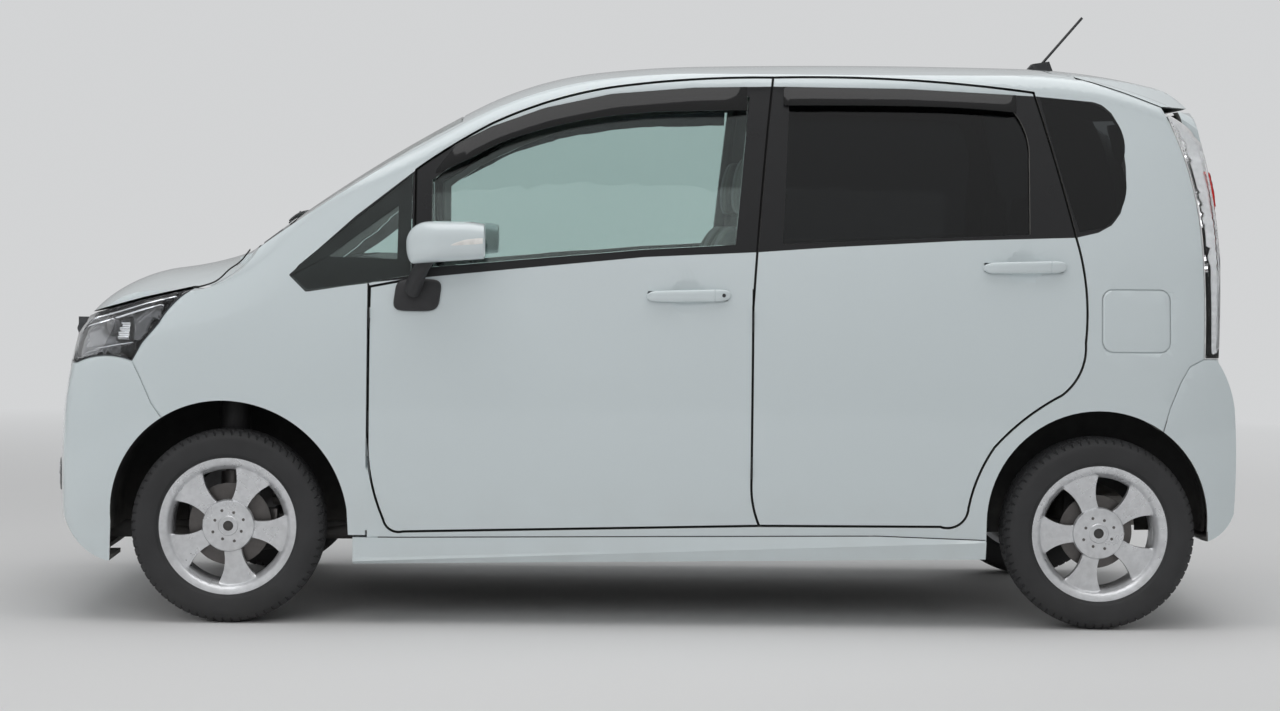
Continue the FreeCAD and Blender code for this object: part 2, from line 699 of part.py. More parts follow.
bumper = shell_skin.common(across(side_wire(front_bumper_rows)))
bumper = bumper.cut(across(front_arch)).cut(grooves)
bumper = bumper.cut(box(-far, -1560.0, -340.0, 340.0, 248.0, 404.0))
bumper = bumper.cut(box(-1560.0, 0.0, -500.0, 500.0, 0.0, far))
for y in plate_bolt_y:
    hole_start = V(nose_x - 40.0, y, front_plate_z)
    bumper = bumper.cut(rod(plate_bolt_radius, hole_start, hole_start + V(80.0, 0, 0)))
save("front_bumper", bumper)
save("grilles", upper_grille, lower_grille)

tail_lamp = shell_wall.common(across(side_wire(tail_lamp_rows)))
tail_lamp = tail_lamp.common(box(1400.0, far, -far, -tail_lamp_y, 0.0, far)).cut(grooves)
tail_lamp_right = mirrored(tail_lamp).fuse([body for body, moving in back_hinges])
save("tail_lamps", tail_lamp, tail_lamp_right)

rear_bumper = shell_skin.common(across(side_wire(rear_bumper_rows)))
rear_bumper = rear_bumper.cut(across(rear_arch)).cut(grooves)
rear_bumper = rear_bumper.cut(box(1200.0, 1560.0, -500.0, 500.0, 0.0, far))
save("rear_bumper", rear_bumper)

door_zone = box(1400.0, far, -tail_lamp_y + shut_gap, tail_lamp_y - shut_gap, 0.0, far)
back_hem = shell_hem.common(across(back_door_wire)).common(door_zone)
back_deep = depth_hem.cut(depth_back).common(box(1400.0, far, -530.0, 530.0, 800.0, 1455.0))
window = box(1300.0, far, -back_window_half, back_window_half, *back_window_z)
back_door = back_hem.fuse(back_deep).cut(window).fuse([moving for body, moving in back_hinges])
for y in plate_bolt_y:
    hole_start = V(tail_x - 90.0, y, rear_plate_z)
    back_door = back_door.cut(rod(plate_bolt_radius, hole_start, hole_start + V(90.0, 0, 0)))
save("back_door", back_door)
pane_half = back_window_half - fit
back_glass = shell_glass.common(
    box(1300.0, far, -pane_half, pane_half, back_window_z[0] + fit, back_window_z[1] - fit))
save("back_door_glass", back_glass)

corner_glass = skin_left.common(across(grown(corner_wire, -fit), -far, -480.0))
quarter_glass = shell_glass.common(
    across(grown(side_wire(quarter_window_rows), -fit), -far, -400.0))
save("fixed_side_glass", *(both(corner_glass) + both(quarter_glass)))

# Underbody
floor_rows = [(-812.0, 215.0), (470.0, 215.0), (560.0, 372.0), (860.0, 400.0), (1560.0, 430.0),
              (1560.0, 470.0), (840.0, 440.0), (530.0, 412.0), (440.0, 255.0), (-812.0, 255.0)]
floor = across(side_wire(floor_rows), -650.0, 650.0).common(depth_wall)
floor_side = box(938.0, 1600.0, -800.0, -540.0, 0.0, 700.0)
floor_side = floor_side.fuse(box(440.0, 938.0, -800.0, -625.0, 255.0, 700.0))
floor = floor.cut(floor_side).cut(mirrored(floor_side))
save("floor_pan", floor)

liners = []
for arch, limit in ((front_arch, 400.0), (rear_arch, 545.0)):
    band = across(grown(arch, 11.0), -far, -limit).cut(across(grown(arch, 2.0), -far, -limit - 9.0))
    band = band.common(box(-far, far, -far, 0.0, 258.0, far))
    hole = rod(150.0, V(front_axle_x, -far, 272.0), V(front_axle_x, 0, 272.0))
    hole = hole.fuse(rod(130.0, V(rear_axle_x, -far, 272.0), V(rear_axle_x, 0, 272.0)))
    inner = depth_skin if arch is front_arch else depth_wall
    liners += both(band.cut(hole).common(inner))
save("wheel_liners", *liners)

skirt = outer.common(across(side_wire([(-830.0, 170.0), (951.0, 198.0), (951.0, 252.0), (640.0, 262.0),
                                      (-700.0, 246.0), (-830.0, 246.0)]), -far, -660.0))
save("side_skirts", *both(skirt.cut(across(front_arch, -far, 0)).cut(across(rear_arch, -far, 0)).cut(frame)))

# Wheels: one profile for tyre and rim, turned about the axle
bead_radius = 180.0
lip = 6.5
barrel_wall = 6.0
hub_radius = 46.0
cover_radius = 74.0
spoke_root = 50.0
spoke_tip = 128.0
spoke_depth = 24.0
stub_radius = 14.0


def turned(rows, y0, sign, x, z):
    """Turns a profile of (radius, depth) rows about the axle; depth is outboard of y0."""
    points = []
    for row in rows:
        if len(row) == 2:
            points.append(V(x, y0 + sign * row[1], z + row[0]))
        else:
            points.append((V(x, y0 + sign * row[1], z + row[0]), V(x, y0 + sign * row[3], z + row[2])))
    return Part.Face(wire_of(points)).revolve(V(x, 0, z), V(0, 1, 0), 360)


def tyre_solid(x, y0, sign):
    half = tyre_width / 2
    tread = half - 14.0
    bead = rim_width / 2 - lip - 4.0
    rows = [
        (bead_radius, -bead),
        (rim_radius + 5.0, -bead - 2.0, rim_radius + 14.0, -half + 6.0),
        (rim_radius + 40.0, -half - 1.0, tyre_radius - 10.0, -tread - 6.0),
        (tyre_radius - 3.0, -tread - 1.0, tyre_radius - 1.0, -tread + 8.0),
        (tyre_radius, 0.0, tyre_radius - 1.0, tread - 8.0),
        (tyre_radius - 3.0, tread + 1.0, tyre_radius - 10.0, tread + 6.0),
        (rim_radius + 40.0, half + 1.0, rim_radius + 14.0, half - 6.0),
        (rim_radius + 5.0, bead + 2.0, bead_radius, bead),
    ]
    return turned(rows, y0, sign, x, axle_z)


def rim_solid(x, y0, sign, turn):
    """A cast rim: barrel with two flanges, a hub and broad spokes that flare to the barrel."""
    half = rim_width / 2
    rows = [
        (bead_radius - fit, -half + lip + 4.0),
        (rim_radius, -half + lip + 3.0),
        (rim_radius, -half),
        (bead_radius - 6.0, -half + 1.0),
        (bead_radius - barrel_wall - 16.0, -half + 22.0),
        (bead_radius - barrel_wall - 16.0, half - 30.0),
        (bead_radius - 7.0, half - 8.0),
        (bead_radius + 6.0, half - 1.0),
        (rim_radius, half),
        (rim_radius, half - lip),
        (bead_radius - fit, half - lip - 4.0),
    ]
    barrel = turned(rows, y0, sign, x, axle_z)
    face_y = half - 22.0
    hub = turned([(stub_radius + fit, face_y - 44.0), (hub_radius + 14.0, face_y - 44.0),
                  (hub_radius + 20.0, face_y - 20.0), (cover_radius, face_y - 8.0), (cover_radius, face_y),
                  (cover_radius - 10.0, face_y + 6.0), (stub_radius + fit, face_y + 8.0)],
                 y0, sign, x, axle_z)
    solid = barrel.fuse(hub)
    for i in range(spoke_count):
        angle = turn + 360.0 * i / spoke_count
        root = spoke_root / 2
        tip = spoke_tip / 2
        spoke = plan_wire([(58.0, -root), (100.0, -root - 2.0, bead_radius - 16.0, -tip),
                           (bead_radius - 16.0, tip), (100.0, root + 2.0, 58.0, root)])
        blade = Part.Face(spoke).extrude(V(0, 0, spoke_depth))
        blade.translate(V(0, 0, -spoke_depth / 2))
        blade.rotate(V(0, 0, 0), V(1, 0, 0), 90)
        blade.rotate(V(0, 0, 0), V(0, 1, 0), -angle)
        blade.translate(V(x, y0 + sign * (face_y - 12.0), axle_z))
        solid = solid.fuse(blade)
    return solid


def disc_solid(x, y0, sign, radius):
    """A brake disc or drum on the inboard side of the hub."""
    return turned([(stub_radius + fit, -18.0), (radius, -18.0), (radius, -6.0), (hub_radius + 12.0, -6.0),
                   (hub_radius + 12.0, rim_width / 2 - 66.0), (stub_radius + fit, rim_width / 2 - 66.0)],
                  y0, sign, x, axle_z)


wheel_rows = [
    # place, x, track, how far a spoke is turned, brake radius
    ("front", front_axle_x, front_track, 64.0, 116.0),
    ("rear", rear_axle_x, rear_track, 38.0, 104.0),
]
for place, x, track, turn, brake in wheel_rows:
    y0 = -track / 2
    rim = rim_solid(x, y0, -1.0, turn).fuse(disc_solid(x, y0, -1.0, brake))
    tyre = tyre_solid(x, y0, -1.0)
    save("wheel_%s_left" % place, rim)
    save("wheel_%s_right" % place, mirrored(rim))
    save("tyre_%s_left" % place, tyre)
    save("tyre_%s_right" % place, mirrored(tyre))

# Front suspension: the strut's own line is the steering axis
ball_y = 604.0
ball_z = 190.0
steer_lean = math.radians(11.5)
strut_radius = 24.0
strut_foot = 350.0
arm_radius = 15.0
ball = V(front_axle_x, -ball_y, ball_z)
steer_dir = V(0, math.sin(steer_lean), math.cos(steer_lean))


def on_axis(z):
    """The point of the left steering axis at this height."""
    return ball + steer_dir * ((z - ball_z) / steer_dir.z)


stub_y = front_track / 2
carrier = rod(40.0, V(front_axle_x, -618.0, axle_z), V(front_axle_x, -560.0, axle_z))
stub = rod(stub_radius, V(front_axle_x, -618.0, axle_z), V(front_axle_x, -stub_y - 24.0, axle_z))
clamp = rod(36.0, on_axis(strut_foot - 14.0), on_axis(strut_foot + 62.0))
neck = rod(20.0, V(front_axle_x, -578.0, axle_z), on_axis(strut_foot + 30.0))
foot = rod(16.0, V(front_axle_x, -590.0, axle_z), on_axis(ball_z + 24.0))
steer_arm = rod(10.0, V(front_axle_x, -578.0, axle_z - 10.0), V(front_axle_x + 118.0, -552.0, 236.0))
caliper = box(front_axle_x + 62.0, front_axle_x + 132.0, -651.0, -604.0, axle_z - 44.0, axle_z + 44.0)
bracket = box(front_axle_x + 10.0, front_axle_x + 100.0, -612.0, -600.0, axle_z - 22.0, axle_z + 22.0)
strut_bore = rod(strut_radius + fit, on_axis(strut_foot - 2.0), on_axis(700.0))
disc_room = turned([(0.0, -21.0), (119.5, -21.0), (119.5, 44.0), (0.0, 44.0)], -stub_y, -1.0,
                   front_axle_x, axle_z)
stub_room = rod(stub_radius + 0.5, V(front_axle_x, -800.0, axle_z), V(front_axle_x, -500.0, axle_z))
disc_room = disc_room.cut(stub_room)
knuckle = carrier.fuse([clamp, neck, foot, steer_arm, caliper, bracket])
knuckle = knuckle.cut(strut_bore).cut(disc_room).fuse(stub)
knuckle = knuckle.cut(rod(26.0, on_axis(100.0), on_axis(ball_z + 24.0)))
save("knuckle_left", knuckle)
save("knuckle_right", mirrored(knuckle))

strut_room = across(grown(front_arch, 1.7), -far, 0)
strut = rod(strut_radius, on_axis(strut_foot), on_axis(720.0)).common(strut_room)
coil = rod(44.0, on_axis(528.0), on_axis(720.0)).common(strut_room)
strut = strut.fuse(coil)
arm_end = V(front_axle_x, -ball_y + 4.0, ball_z - 2.0)
arm = rod(arm_radius, arm_end, V(front_axle_x - 20.0, -330.0, 215.0))
arm = arm.fuse(rod(arm_radius, arm_end, V(front_axle_x + 250.0, -360.0, 222.0)))
arm = arm.fuse(rod(20.0, on_axis(ball_z - 14.0), on_axis(ball_z + 24.0 - fit)))
cross = box(front_axle_x - 60.0, front_axle_x + 40.0, -345.0, 345.0, 196.0, 246.0)
rails = box(-1560.0, -812.0 - fit, -385.0, -335.0, 204.0, 254.0)
cradle = cross.fuse([rails, mirrored(rails), arm, mirrored(arm)])
save("front_suspension", cradle, *both(strut))

# Rear axle: a twist beam with trailing arms, coil springs and stub axles
beam_x = rear_axle_x - 190.0
rear_y = rear_track / 2
beam = box(beam_x - 40.0, beam_x + 40.0, -500.0, 500.0, 250.0, 330.0)
trail = rod(24.0, V(beam_x - 160.0, -500.0, 285.0), V(rear_axle_x, -520.0, axle_z))
hub_plate = rod(52.0, V(rear_axle_x, -500.0, axle_z), V(rear_axle_x, -rear_y + 22.0, axle_z))
rear_stub = rod(stub_radius, V(rear_axle_x, -600.0, axle_z), V(rear_axle_x, -rear_y - 24.0, axle_z))
spring = rod(48.0, V(rear_axle_x - 60.0, -455.0, 300.0), V(rear_axle_x - 60.0, -455.0, 419.0))
seat_plate = box(rear_axle_x - 120.0, rear_axle_x + 10.0, -520.0, -400.0, 286.0, 301.0)
side = trail.fuse([hub_plate, rear_stub, spring, seat_plate])
axle = beam.fuse([side, mirrored(side)])
bush = box(beam_x - 190.0, beam_x - 130.0, -534.0, -466.0, 262.0, 405.0)
axle = axle.fuse([bush, mirrored(bush)]).cut(floor)
save("rear_axle", axle)

# Masses and pipes under the floor
engine = box(-1490.0, -1130.0, -330.0, 310.0, 300.0, 760.0)
engine = engine.fuse(box(-1380.0, -1130.0, -320.0, 320.0, 246.0 + fit, 480.0))
save("engine_block", engine)
tank = box(566.0, 850.0, -390.0, 300.0, 228.0, 372.0)
save("fuel_tank", tank)
pipe_rows = [
    V(-1130.0 + fit, 60.0, 280.0),
    V(-1090.0, 60.0, 280.0),
    V(-860.0, 60.0, 190.0),
    V(300.0, 60.0, 190.0),
    V(470.0, 345.0, 192.0),
    V(900.0, 345.0, 290.0),
    V(1010.0, 345.0, 360.0),
    V(1400.0, 330.0, 350.0),
]
pipe = None
for start, end in zip(pipe_rows, pipe_rows[1:]):
    run = rod(22.0, start, end).fuse(Part.makeSphere(22.0, end))
    pipe = run if pipe is None else pipe.fuse(run)
silencer = rod(92.0, V(1440.0, -150.0, 326.0), V(1440.0, 380.0, 326.0))
pipe_bend = V(1560.0, 330.0, 212.0)
tail_pipe = rod(20.0, V(1440.0, 330.0, 300.0), pipe_bend)
tail_pipe = tail_pipe.fuse([Part.makeSphere(20.0, pipe_bend), rod(20.0, pipe_bend, V(1650.0, 330.0, 210.0))])
save("exhaust", pipe.fuse([silencer, tail_pipe]).cut(tank).cut(floor))

# Cabin
dash_rows = [(-1029.0, 1000.0), (-900.0, 1008.0), (-700.0, 1000.0, -640.0, 940.0), (-640.0, 850.0),
             (-690.0, 720.0), (-1029.0, 720.0)]
dash = across(side_wire(dash_rows), -606.0, 606.0).common(depth_wall)
console = box(-794.0 + fit, -640.0, -110.0, 110.0, 480.0, 760.0)

wheel_y = 335.0
column_lean = math.radians(28.0)
column_dir = V(math.cos(column_lean), 0, math.sin(column_lean))
wheel_centre = V(-520.0, wheel_y, 960.0)
ring = Part.makeTorus(176.0, 15.0, wheel_centre, column_dir)
boss = rod(56.0, wheel_centre - column_dir * 34.0, wheel_centre + column_dir * 6.0)
shaft = rod(20.0, wheel_centre - column_dir * 190.0, wheel_centre - column_dir * 20.0)
across_dir = V(0, 1, 0)
down_dir = column_dir.cross(across_dir)
steering = ring.fuse([boss, shaft])
for direction in (across_dir, across_dir * -1.0, down_dir):
    steering = steering.fuse(rod(12.0, wheel_centre - column_dir * 12.0, wheel_centre + direction * 176.0))
save("steering_wheel", steering)
shroud = rod(44.0, wheel_centre - column_dir * 240.0, wheel_centre - column_dir * 60.0)
column_bore = rod(20.0 + fit, wheel_centre - column_dir * 195.0, wheel_centre)
save("dashboard", dash.fuse([console, shroud]).cut(column_bore))


def seat(y0, y1):
    """A front seat: base, cushion, back and head rest."""
    cushion = across(side_wire([(-420.0, 470.0), (-410.0, 560.0, -370.0, 590.0), (130.0, 560.0),
                                (130.0, 430.0), (-380.0, 430.0)]), y0, y1)
    back = across(side_wire([(60.0, 540.0), (130.0, 520.0), (300.0, 1120.0),
                             (280.0, 1150.0, 240.0, 1140.0), (190.0, 1110.0)]), y0 + 10.0, y1 - 10.0)
    middle = (y0 + y1) / 2
    rest = across(side_wire([(236.0, 1150.0), (262.0, 1330.0), (330.0, 1330.0), (316.0, 1150.0)]),
                  middle - 125.0, middle + 125.0)
    base = box(-330.0, 90.0, y0 + 60.0, y1 - 60.0, 255.0, 440.0)
    return cushion.fuse([back, rest, base])


bench = across(side_wire([(560.0, 560.0), (590.0, 590.0), (980.0, 560.0), (980.0, 430.0), (620.0, 420.0)]),
               -530.0, 530.0).cut(floor)
bench_back_wire = side_wire([(930.0, 540.0), (1000.0, 520.0), (1150.0, 1080.0), (1070.0, 1090.0)])
bench_back = across(bench_back_wire, -530.0, 530.0)
bench = bench.fuse(bench_back)
rest_wire = side_wire([(1068.0, 1080.0), (1086.0, 1230.0), (1150.0, 1230.0), (1140.0, 1070.0)])
for y in (-300.0, 300.0):
    bench = bench.fuse(across(rest_wire, y - 120.0, y + 120.0))
save("seats", seat(-570.0, -60.0), seat(60.0, 570.0), bench)

# Mirrors and antenna
mirror_rows = [
    (-676.0, 1020.0),
    (-681.0, 1100.0, -640.0, 1130.0),
    (-520.0, 1133.0),
    (-466.0, 1128.0, -461.0, 1060.0),
    (-560.0, 1022.0, -676.0, 1012.0),
]
mirror_middle = (-570.0, 1072.0)
mirror_loft = []
for y, share in ((-745.0, 0.9), (-800.0, 1.0), (-870.0, 0.97), (-905.0, 0.74)):
    rows = []
    for row in mirror_rows:
        rows.append(tuple(m * share + c * (1 - share) for m, c in zip(row, mirror_middle * 2)))
    mirror_loft.append(side_wire(rows).translated(V(0, y, 0)))
housing = Part.makeLoft(mirror_loft, True)
foot = across(side_wire([(-717.0, 881.0), (-712.0, 950.0), (-660.0, 971.0), (-587.0, 965.0),
                         (-600.0, 890.0)]), -740.0, -690.0)
stalk = rod(26.0, V(-640.0, -716.0, 940.0), V(-600.0, -790.0, 1040.0))
mirror = housing.fuse([foot, stalk]).cut(outer)
save("mirror_left", mirror)
save("mirror_right", mirrored(mirror))

base_wire = side_wire([(1150.0, 1606.0), (1172.0, 1632.0), (1222.0, 1640.0), (1236.0, 1604.0)])
base = across(base_wire, -22.0, 22.0)
mast = rod(4.0, V(1200.0, 0, 1630.0), V(1324.0, 0, 1775.0))
save("antenna", base.fuse(mast).cut(outer))

# Radiator and its panel behind the grille
radiator = box(-1590.0, -1560.0, -386.0, 386.0, 204.0, 640.0)
latch_bar = box(-1600.0, -1560.0, -560.0, 560.0, 690.0, 722.0)
posts = box(-1590.0, -1560.0, -386.0, 386.0, 640.0, 700.0)
save("radiator_panel", radiator.fuse([latch_bar, posts]).common(depth_wall))
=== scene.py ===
"""The looks of a kei car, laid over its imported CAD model.

The body panels, glass and running gear are smoothed copies of the CAD nodes. Lamps, tyres, seats,
trim and cabin fittings are surfaces worked out here and placed against the CAD nodes.
Frame, in metres: origin on the ground, +X to the rear, +Y to the car's right, +Z up.
"""

import json
import logging
import math
from collections.abc import Callable
from dataclasses import dataclass
from enum import Enum
from functools import reduce

import bmesh
import bpy
import numpy as np
from mathutils import Matrix, Vector
from mathutils.bvhtree import BVHTree

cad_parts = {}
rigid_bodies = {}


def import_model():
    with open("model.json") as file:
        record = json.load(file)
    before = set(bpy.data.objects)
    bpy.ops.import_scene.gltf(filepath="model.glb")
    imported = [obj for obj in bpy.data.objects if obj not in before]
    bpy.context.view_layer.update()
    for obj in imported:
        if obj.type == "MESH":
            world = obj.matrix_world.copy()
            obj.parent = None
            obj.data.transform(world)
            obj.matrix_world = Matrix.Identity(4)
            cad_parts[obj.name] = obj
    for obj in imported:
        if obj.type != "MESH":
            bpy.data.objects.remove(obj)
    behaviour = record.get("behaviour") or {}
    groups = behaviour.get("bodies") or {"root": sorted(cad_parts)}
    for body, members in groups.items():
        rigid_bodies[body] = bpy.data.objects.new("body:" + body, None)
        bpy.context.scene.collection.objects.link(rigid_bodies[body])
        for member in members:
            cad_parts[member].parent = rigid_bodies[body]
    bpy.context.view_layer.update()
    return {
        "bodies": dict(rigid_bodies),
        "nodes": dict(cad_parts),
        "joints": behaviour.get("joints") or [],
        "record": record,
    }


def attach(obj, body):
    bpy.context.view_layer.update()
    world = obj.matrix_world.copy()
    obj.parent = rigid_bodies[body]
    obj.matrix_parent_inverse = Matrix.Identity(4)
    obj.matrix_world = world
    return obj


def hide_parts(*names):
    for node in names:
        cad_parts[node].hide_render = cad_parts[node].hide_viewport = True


logging.basicConfig(level=logging.INFO, format="%(name)s: %(message)s")
log = logging.getLogger("kei car")

Array = np.ndarray
Colour = tuple[float, float, float]
Point = tuple[float, float, float]
Spot = tuple[float, float]
Surface = tuple[Array, Array]
Socket = bpy.types.NodeSocket

AXLE_Z = TYRE_RADIUS = 0.272
INWARD = (0.0, 1.0, 0.0)
BESIDE_Y = -1.2
SKIN_ANGLE = 18.0


class Side(Enum):
    """A side of the car, by the sign of its y."""

    LEFT = -1
    RIGHT = 1

    @property
    def word(self) -> str:
        """The word that ends the side's node names."""
        return self.name.lower()


def rgba(colour: Colour, share: float = 1.0) -> tuple[float, float, float, float]:
    """The colour times a share, with full opacity."""
    return (*(min(1.0, share * part) for part in colour), 1.0)


class Graph:
    """Short words for adding and joining shader nodes in one tree."""

    def __init__(self, tree: bpy.types.NodeTree) -> None:
        """Works on this tree."""
        self.tree = tree

    def put(self, socket: Socket, value: object) -> None:
        """Joins an output to the socket, or sets its value."""
        if isinstance(value, bpy.types.NodeSocket):
            self.tree.links.new(value, socket)
        else:
            socket.default_value = value

    def join(self, node: bpy.types.Node, **inputs: object) -> bpy.types.Node:
        """Joins or sets inputs of the node, by name with _ for a space, and returns it."""
        for label, value in inputs.items():
            self.put(node.inputs[label.replace("_", " ")], value)
        return node

    def add(self, kind: str, **inputs: object) -> bpy.types.Node:
        """Adds a node, its type given without the word ShaderNode, with these inputs."""
        return self.join(self.tree.nodes.new("ShaderNode" + kind), **inputs)

    def math(self, operation: str, *values: object, clamp: bool = False) -> Socket:
        """A math node's result of these values."""
        node = self.add("Math")
        node.operation, node.use_clamp = operation, clamp
        for socket, value in zip(node.inputs, values):
            self.put(socket, value)
        return node.outputs[0]

    def product(self, *values: object) -> Socket:
        """All the values multiplied."""
        return reduce(lambda a, b: self.math("MULTIPLY", a, b), values)

    def vector(self, operation: str, *values: object) -> Socket:
        """The number that a vector math node gives for these vectors."""
        node = self.add("VectorMath")
        node.operation = operation
        for socket, value in zip(node.inputs, values):
            self.put(socket, value)
        return node.outputs["Value"]

    def mix(self, factor: object, a: object, b: object) -> Socket:
        """A colour between a and b."""
        node = self.add("Mix")
        node.data_type = "RGBA"
        for place, value in (("Factor", factor), (6, a), (7, b)):
            self.put(node.inputs[place], value)
        return node.outputs[2]

    def span(self, value: object, low: float, high: float, to_low: float = 0.0,
             to_high: float = 1.0) -> Socket:
        """Maps the value from low..high to to_low..to_high, held at both ends."""
        return self.add("MapRange", Value=value, From_Min=low, From_Max=high, To_Min=to_low,
                        To_Max=to_high).outputs[0]

    def place(self) -> Socket:
        """Where the surface is, in metres."""
        return self.add("TexCoord").outputs["Object"]

    def axes(self, vector: object) -> tuple[Socket, ...]:
        """The x, y and z of a vector."""
        return tuple(self.add("SeparateXYZ", Vector=vector).outputs)

    def noise(self, place: object, scale: float, detail: float = 2.0) -> Socket:
        """Noise of about this many cells in a metre, from 0 to 1."""
        return self.add("TexNoise", Vector=place, Scale=scale, Detail=detail).outputs["Fac"]

    def cells(self, place: object, scale: object) -> Socket:
        """The distance from the middle of a cell, with this many cells in a metre."""
        return self.add("TexVoronoi", Vector=place, Scale=scale).outputs["Distance"]

    def group(self, group: bpy.types.NodeTree, **inputs: float) -> Socket:
        """The result of a node group with these inputs."""
        node = self.add("Group")
        node.node_tree = group
        return self.join(node, **inputs).outputs[0]

    def bump(self, height: object, strength: float, distance: float) -> Socket:
        """A bump's normal from the height."""
        return self.add("Bump", Height=height, Strength=strength, Distance=distance).outputs["Normal"]


# Heights of the side glazing's black surround over x, in metres
GLAZING_LOWER = ((-1.014, 0.977), (-0.967, 0.931), (-0.791, 0.959), (-0.392, 1.001), (-0.019, 1.039),
                 (0.297, 1.056), (0.517, 1.073), (0.876, 1.095), (1.198, 1.107), (1.262, 1.122),
                 (1.302, 1.144), (1.330, 1.182), (1.3455, 1.25))
GLAZING_UPPER = ((-1.014, 0.979), (-0.830, 1.146), (-0.664, 1.277), (-0.565, 1.345), (-0.454, 1.402),
                 (-0.304, 1.457), (-0.116, 1.499), (0.119, 1.520), (0.343, 1.526), (0.72, 1.524),
                 (1.09, 1.508), (1.259, 1.494), (1.284, 1.485), (1.309, 1.463), (1.328, 1.430),
                 (1.340, 1.385), (1.3455, 1.31))
# Upright seams at the doors' front edges, where the paint turns black as painted shade of the gap and its
# hinges: middle in x, half width and lower end
HINGE_SEAM_SHADE = ((-0.7912, 0.0038, 0.522), (0.2865, 0.0029, 0.402))


class MaskGroups:
    """The node groups that several finishes share, each with one number as its result."""

    curve_floor = 0.9
    curve_height = 0.7
    blur = 0.0006
    cabin_height = 0.8

    def __init__(self) -> None:
        """Builds every group once."""
        self.glazing = self._group("side glazing surround", "Mask", self._glazing)
        self.cabin = self._group("faces into the cabin", "Mask", self._cabin)
        self.wear = self._group("road dust", "Dust", self._wear, Top=0.42, Bottom=0.12)
        self.grain = self._group("moulded grain", "Height", self._grain, Cells=900.0)

    @staticmethod
    def _group(name: str, result: str, fill: Callable[..., Socket], **inputs: float) -> bpy.types.NodeTree:
        """Makes a shader node group.

        Args:
            name: the group's name.
            result: the name of its one output.
            fill: adds the nodes, given a graph and the input sockets, and returns the result.
            inputs: default values of its number inputs by name.

        Returns:
            The group.
        """
        tree = bpy.data.node_groups.new(name, "ShaderNodeTree")
        for label, value in inputs.items():
            socket = tree.interface.new_socket(label, in_out="INPUT", socket_type="NodeSocketFloat")
            socket.default_value = value
        tree.interface.new_socket(result, in_out="OUTPUT", socket_type="NodeSocketFloat")
        given = tree.nodes.new("NodeGroupInput").outputs
        g = Graph(tree)
        value = fill(g, *(given[label] for label in inputs))
        g.put(tree.nodes.new("NodeGroupOutput").inputs[0], value)
        return tree

    def _line(self, g: Graph, x: Socket, rows: tuple[Spot, ...]) -> Socket:
        """A line over x, joined straight between points.

        Args:
            g: the graph that the nodes go to.
            x: where along the line.
            rows: the points as (x, z), from the front to the rear.

        Returns:
            The line's height at x.
        """
        low, high = rows[0][0], rows[-1][0]
        curve = g.add("FloatCurve", Value=g.span(x, low, high))
        points = curve.mapping.curves[0].points
        for i, (place, height) in enumerate(rows):
            spot = ((place - low) / (high - low), (height - self.curve_floor) / self.curve_height)
            if i in (0, len(rows) - 1):
                points[0 if i == 0 else -1].location = spot
            else:
                points.new(*spot)
        for point in points:
            point.handle_type = "VECTOR"
        curve.mapping.update()
        return g.math("ADD", g.math("MULTIPLY", curve.outputs[0], self.curve_height), self.curve_floor)

    def _glazing(self, g: Graph) -> Socket:
        """1 on the black surround of the side windows, 0 elsewhere, from where the surface is."""
        x, y, z = g.axes(g.place())
        above = g.span(g.math("SUBTRACT", z, self._line(g, x, GLAZING_LOWER)), -self.blur, self.blur)
        below = g.span(g.math("SUBTRACT", self._line(g, x, GLAZING_UPPER), z), -self.blur, self.blur)
        return g.product(above, below, g.span(x, -1.0140, -1.0128), g.span(x, 1.3460, 1.3450),
                         g.span(g.math("ABSOLUTE", y), 0.505, 0.507))

    def _cabin(self, g: Graph) -> Socket:
        """1 on faces that look into the cabin, from where the surface is and which way it faces."""
        coordinates = g.add("TexCoord").outputs
        x, y, z = g.axes(coordinates["Object"])
        rise = g.math("SUBTRACT", z, self.cabin_height)
        away = g.add("CombineXYZ", X=g.math("MULTIPLY", x, 0.42), Y=y, Z=rise)
        return g.span(g.vector("DOT_PRODUCT", coordinates["Normal"], away.outputs[0]), -0.05, -0.10)

    def _wear(self, g: Graph, top: Socket, bottom: Socket) -> Socket:
        """Dust towards the ground in slight blotches, from 0 to 1."""
        place = g.place()
        depth = g.math("DIVIDE", g.math("SUBTRACT", top, g.axes(place)[2]), g.math("SUBTRACT", top, bottom),
                       clamp=True)
        return g.product(depth, g.span(g.noise(place, 9.0, 4.0), 0.3, 0.75))

    def _grain(self, g: Graph, cells: Socket) -> Socket:
        """A leather-like grain of moulded plastic, as a height."""
        return g.cells(g.place(), cells)


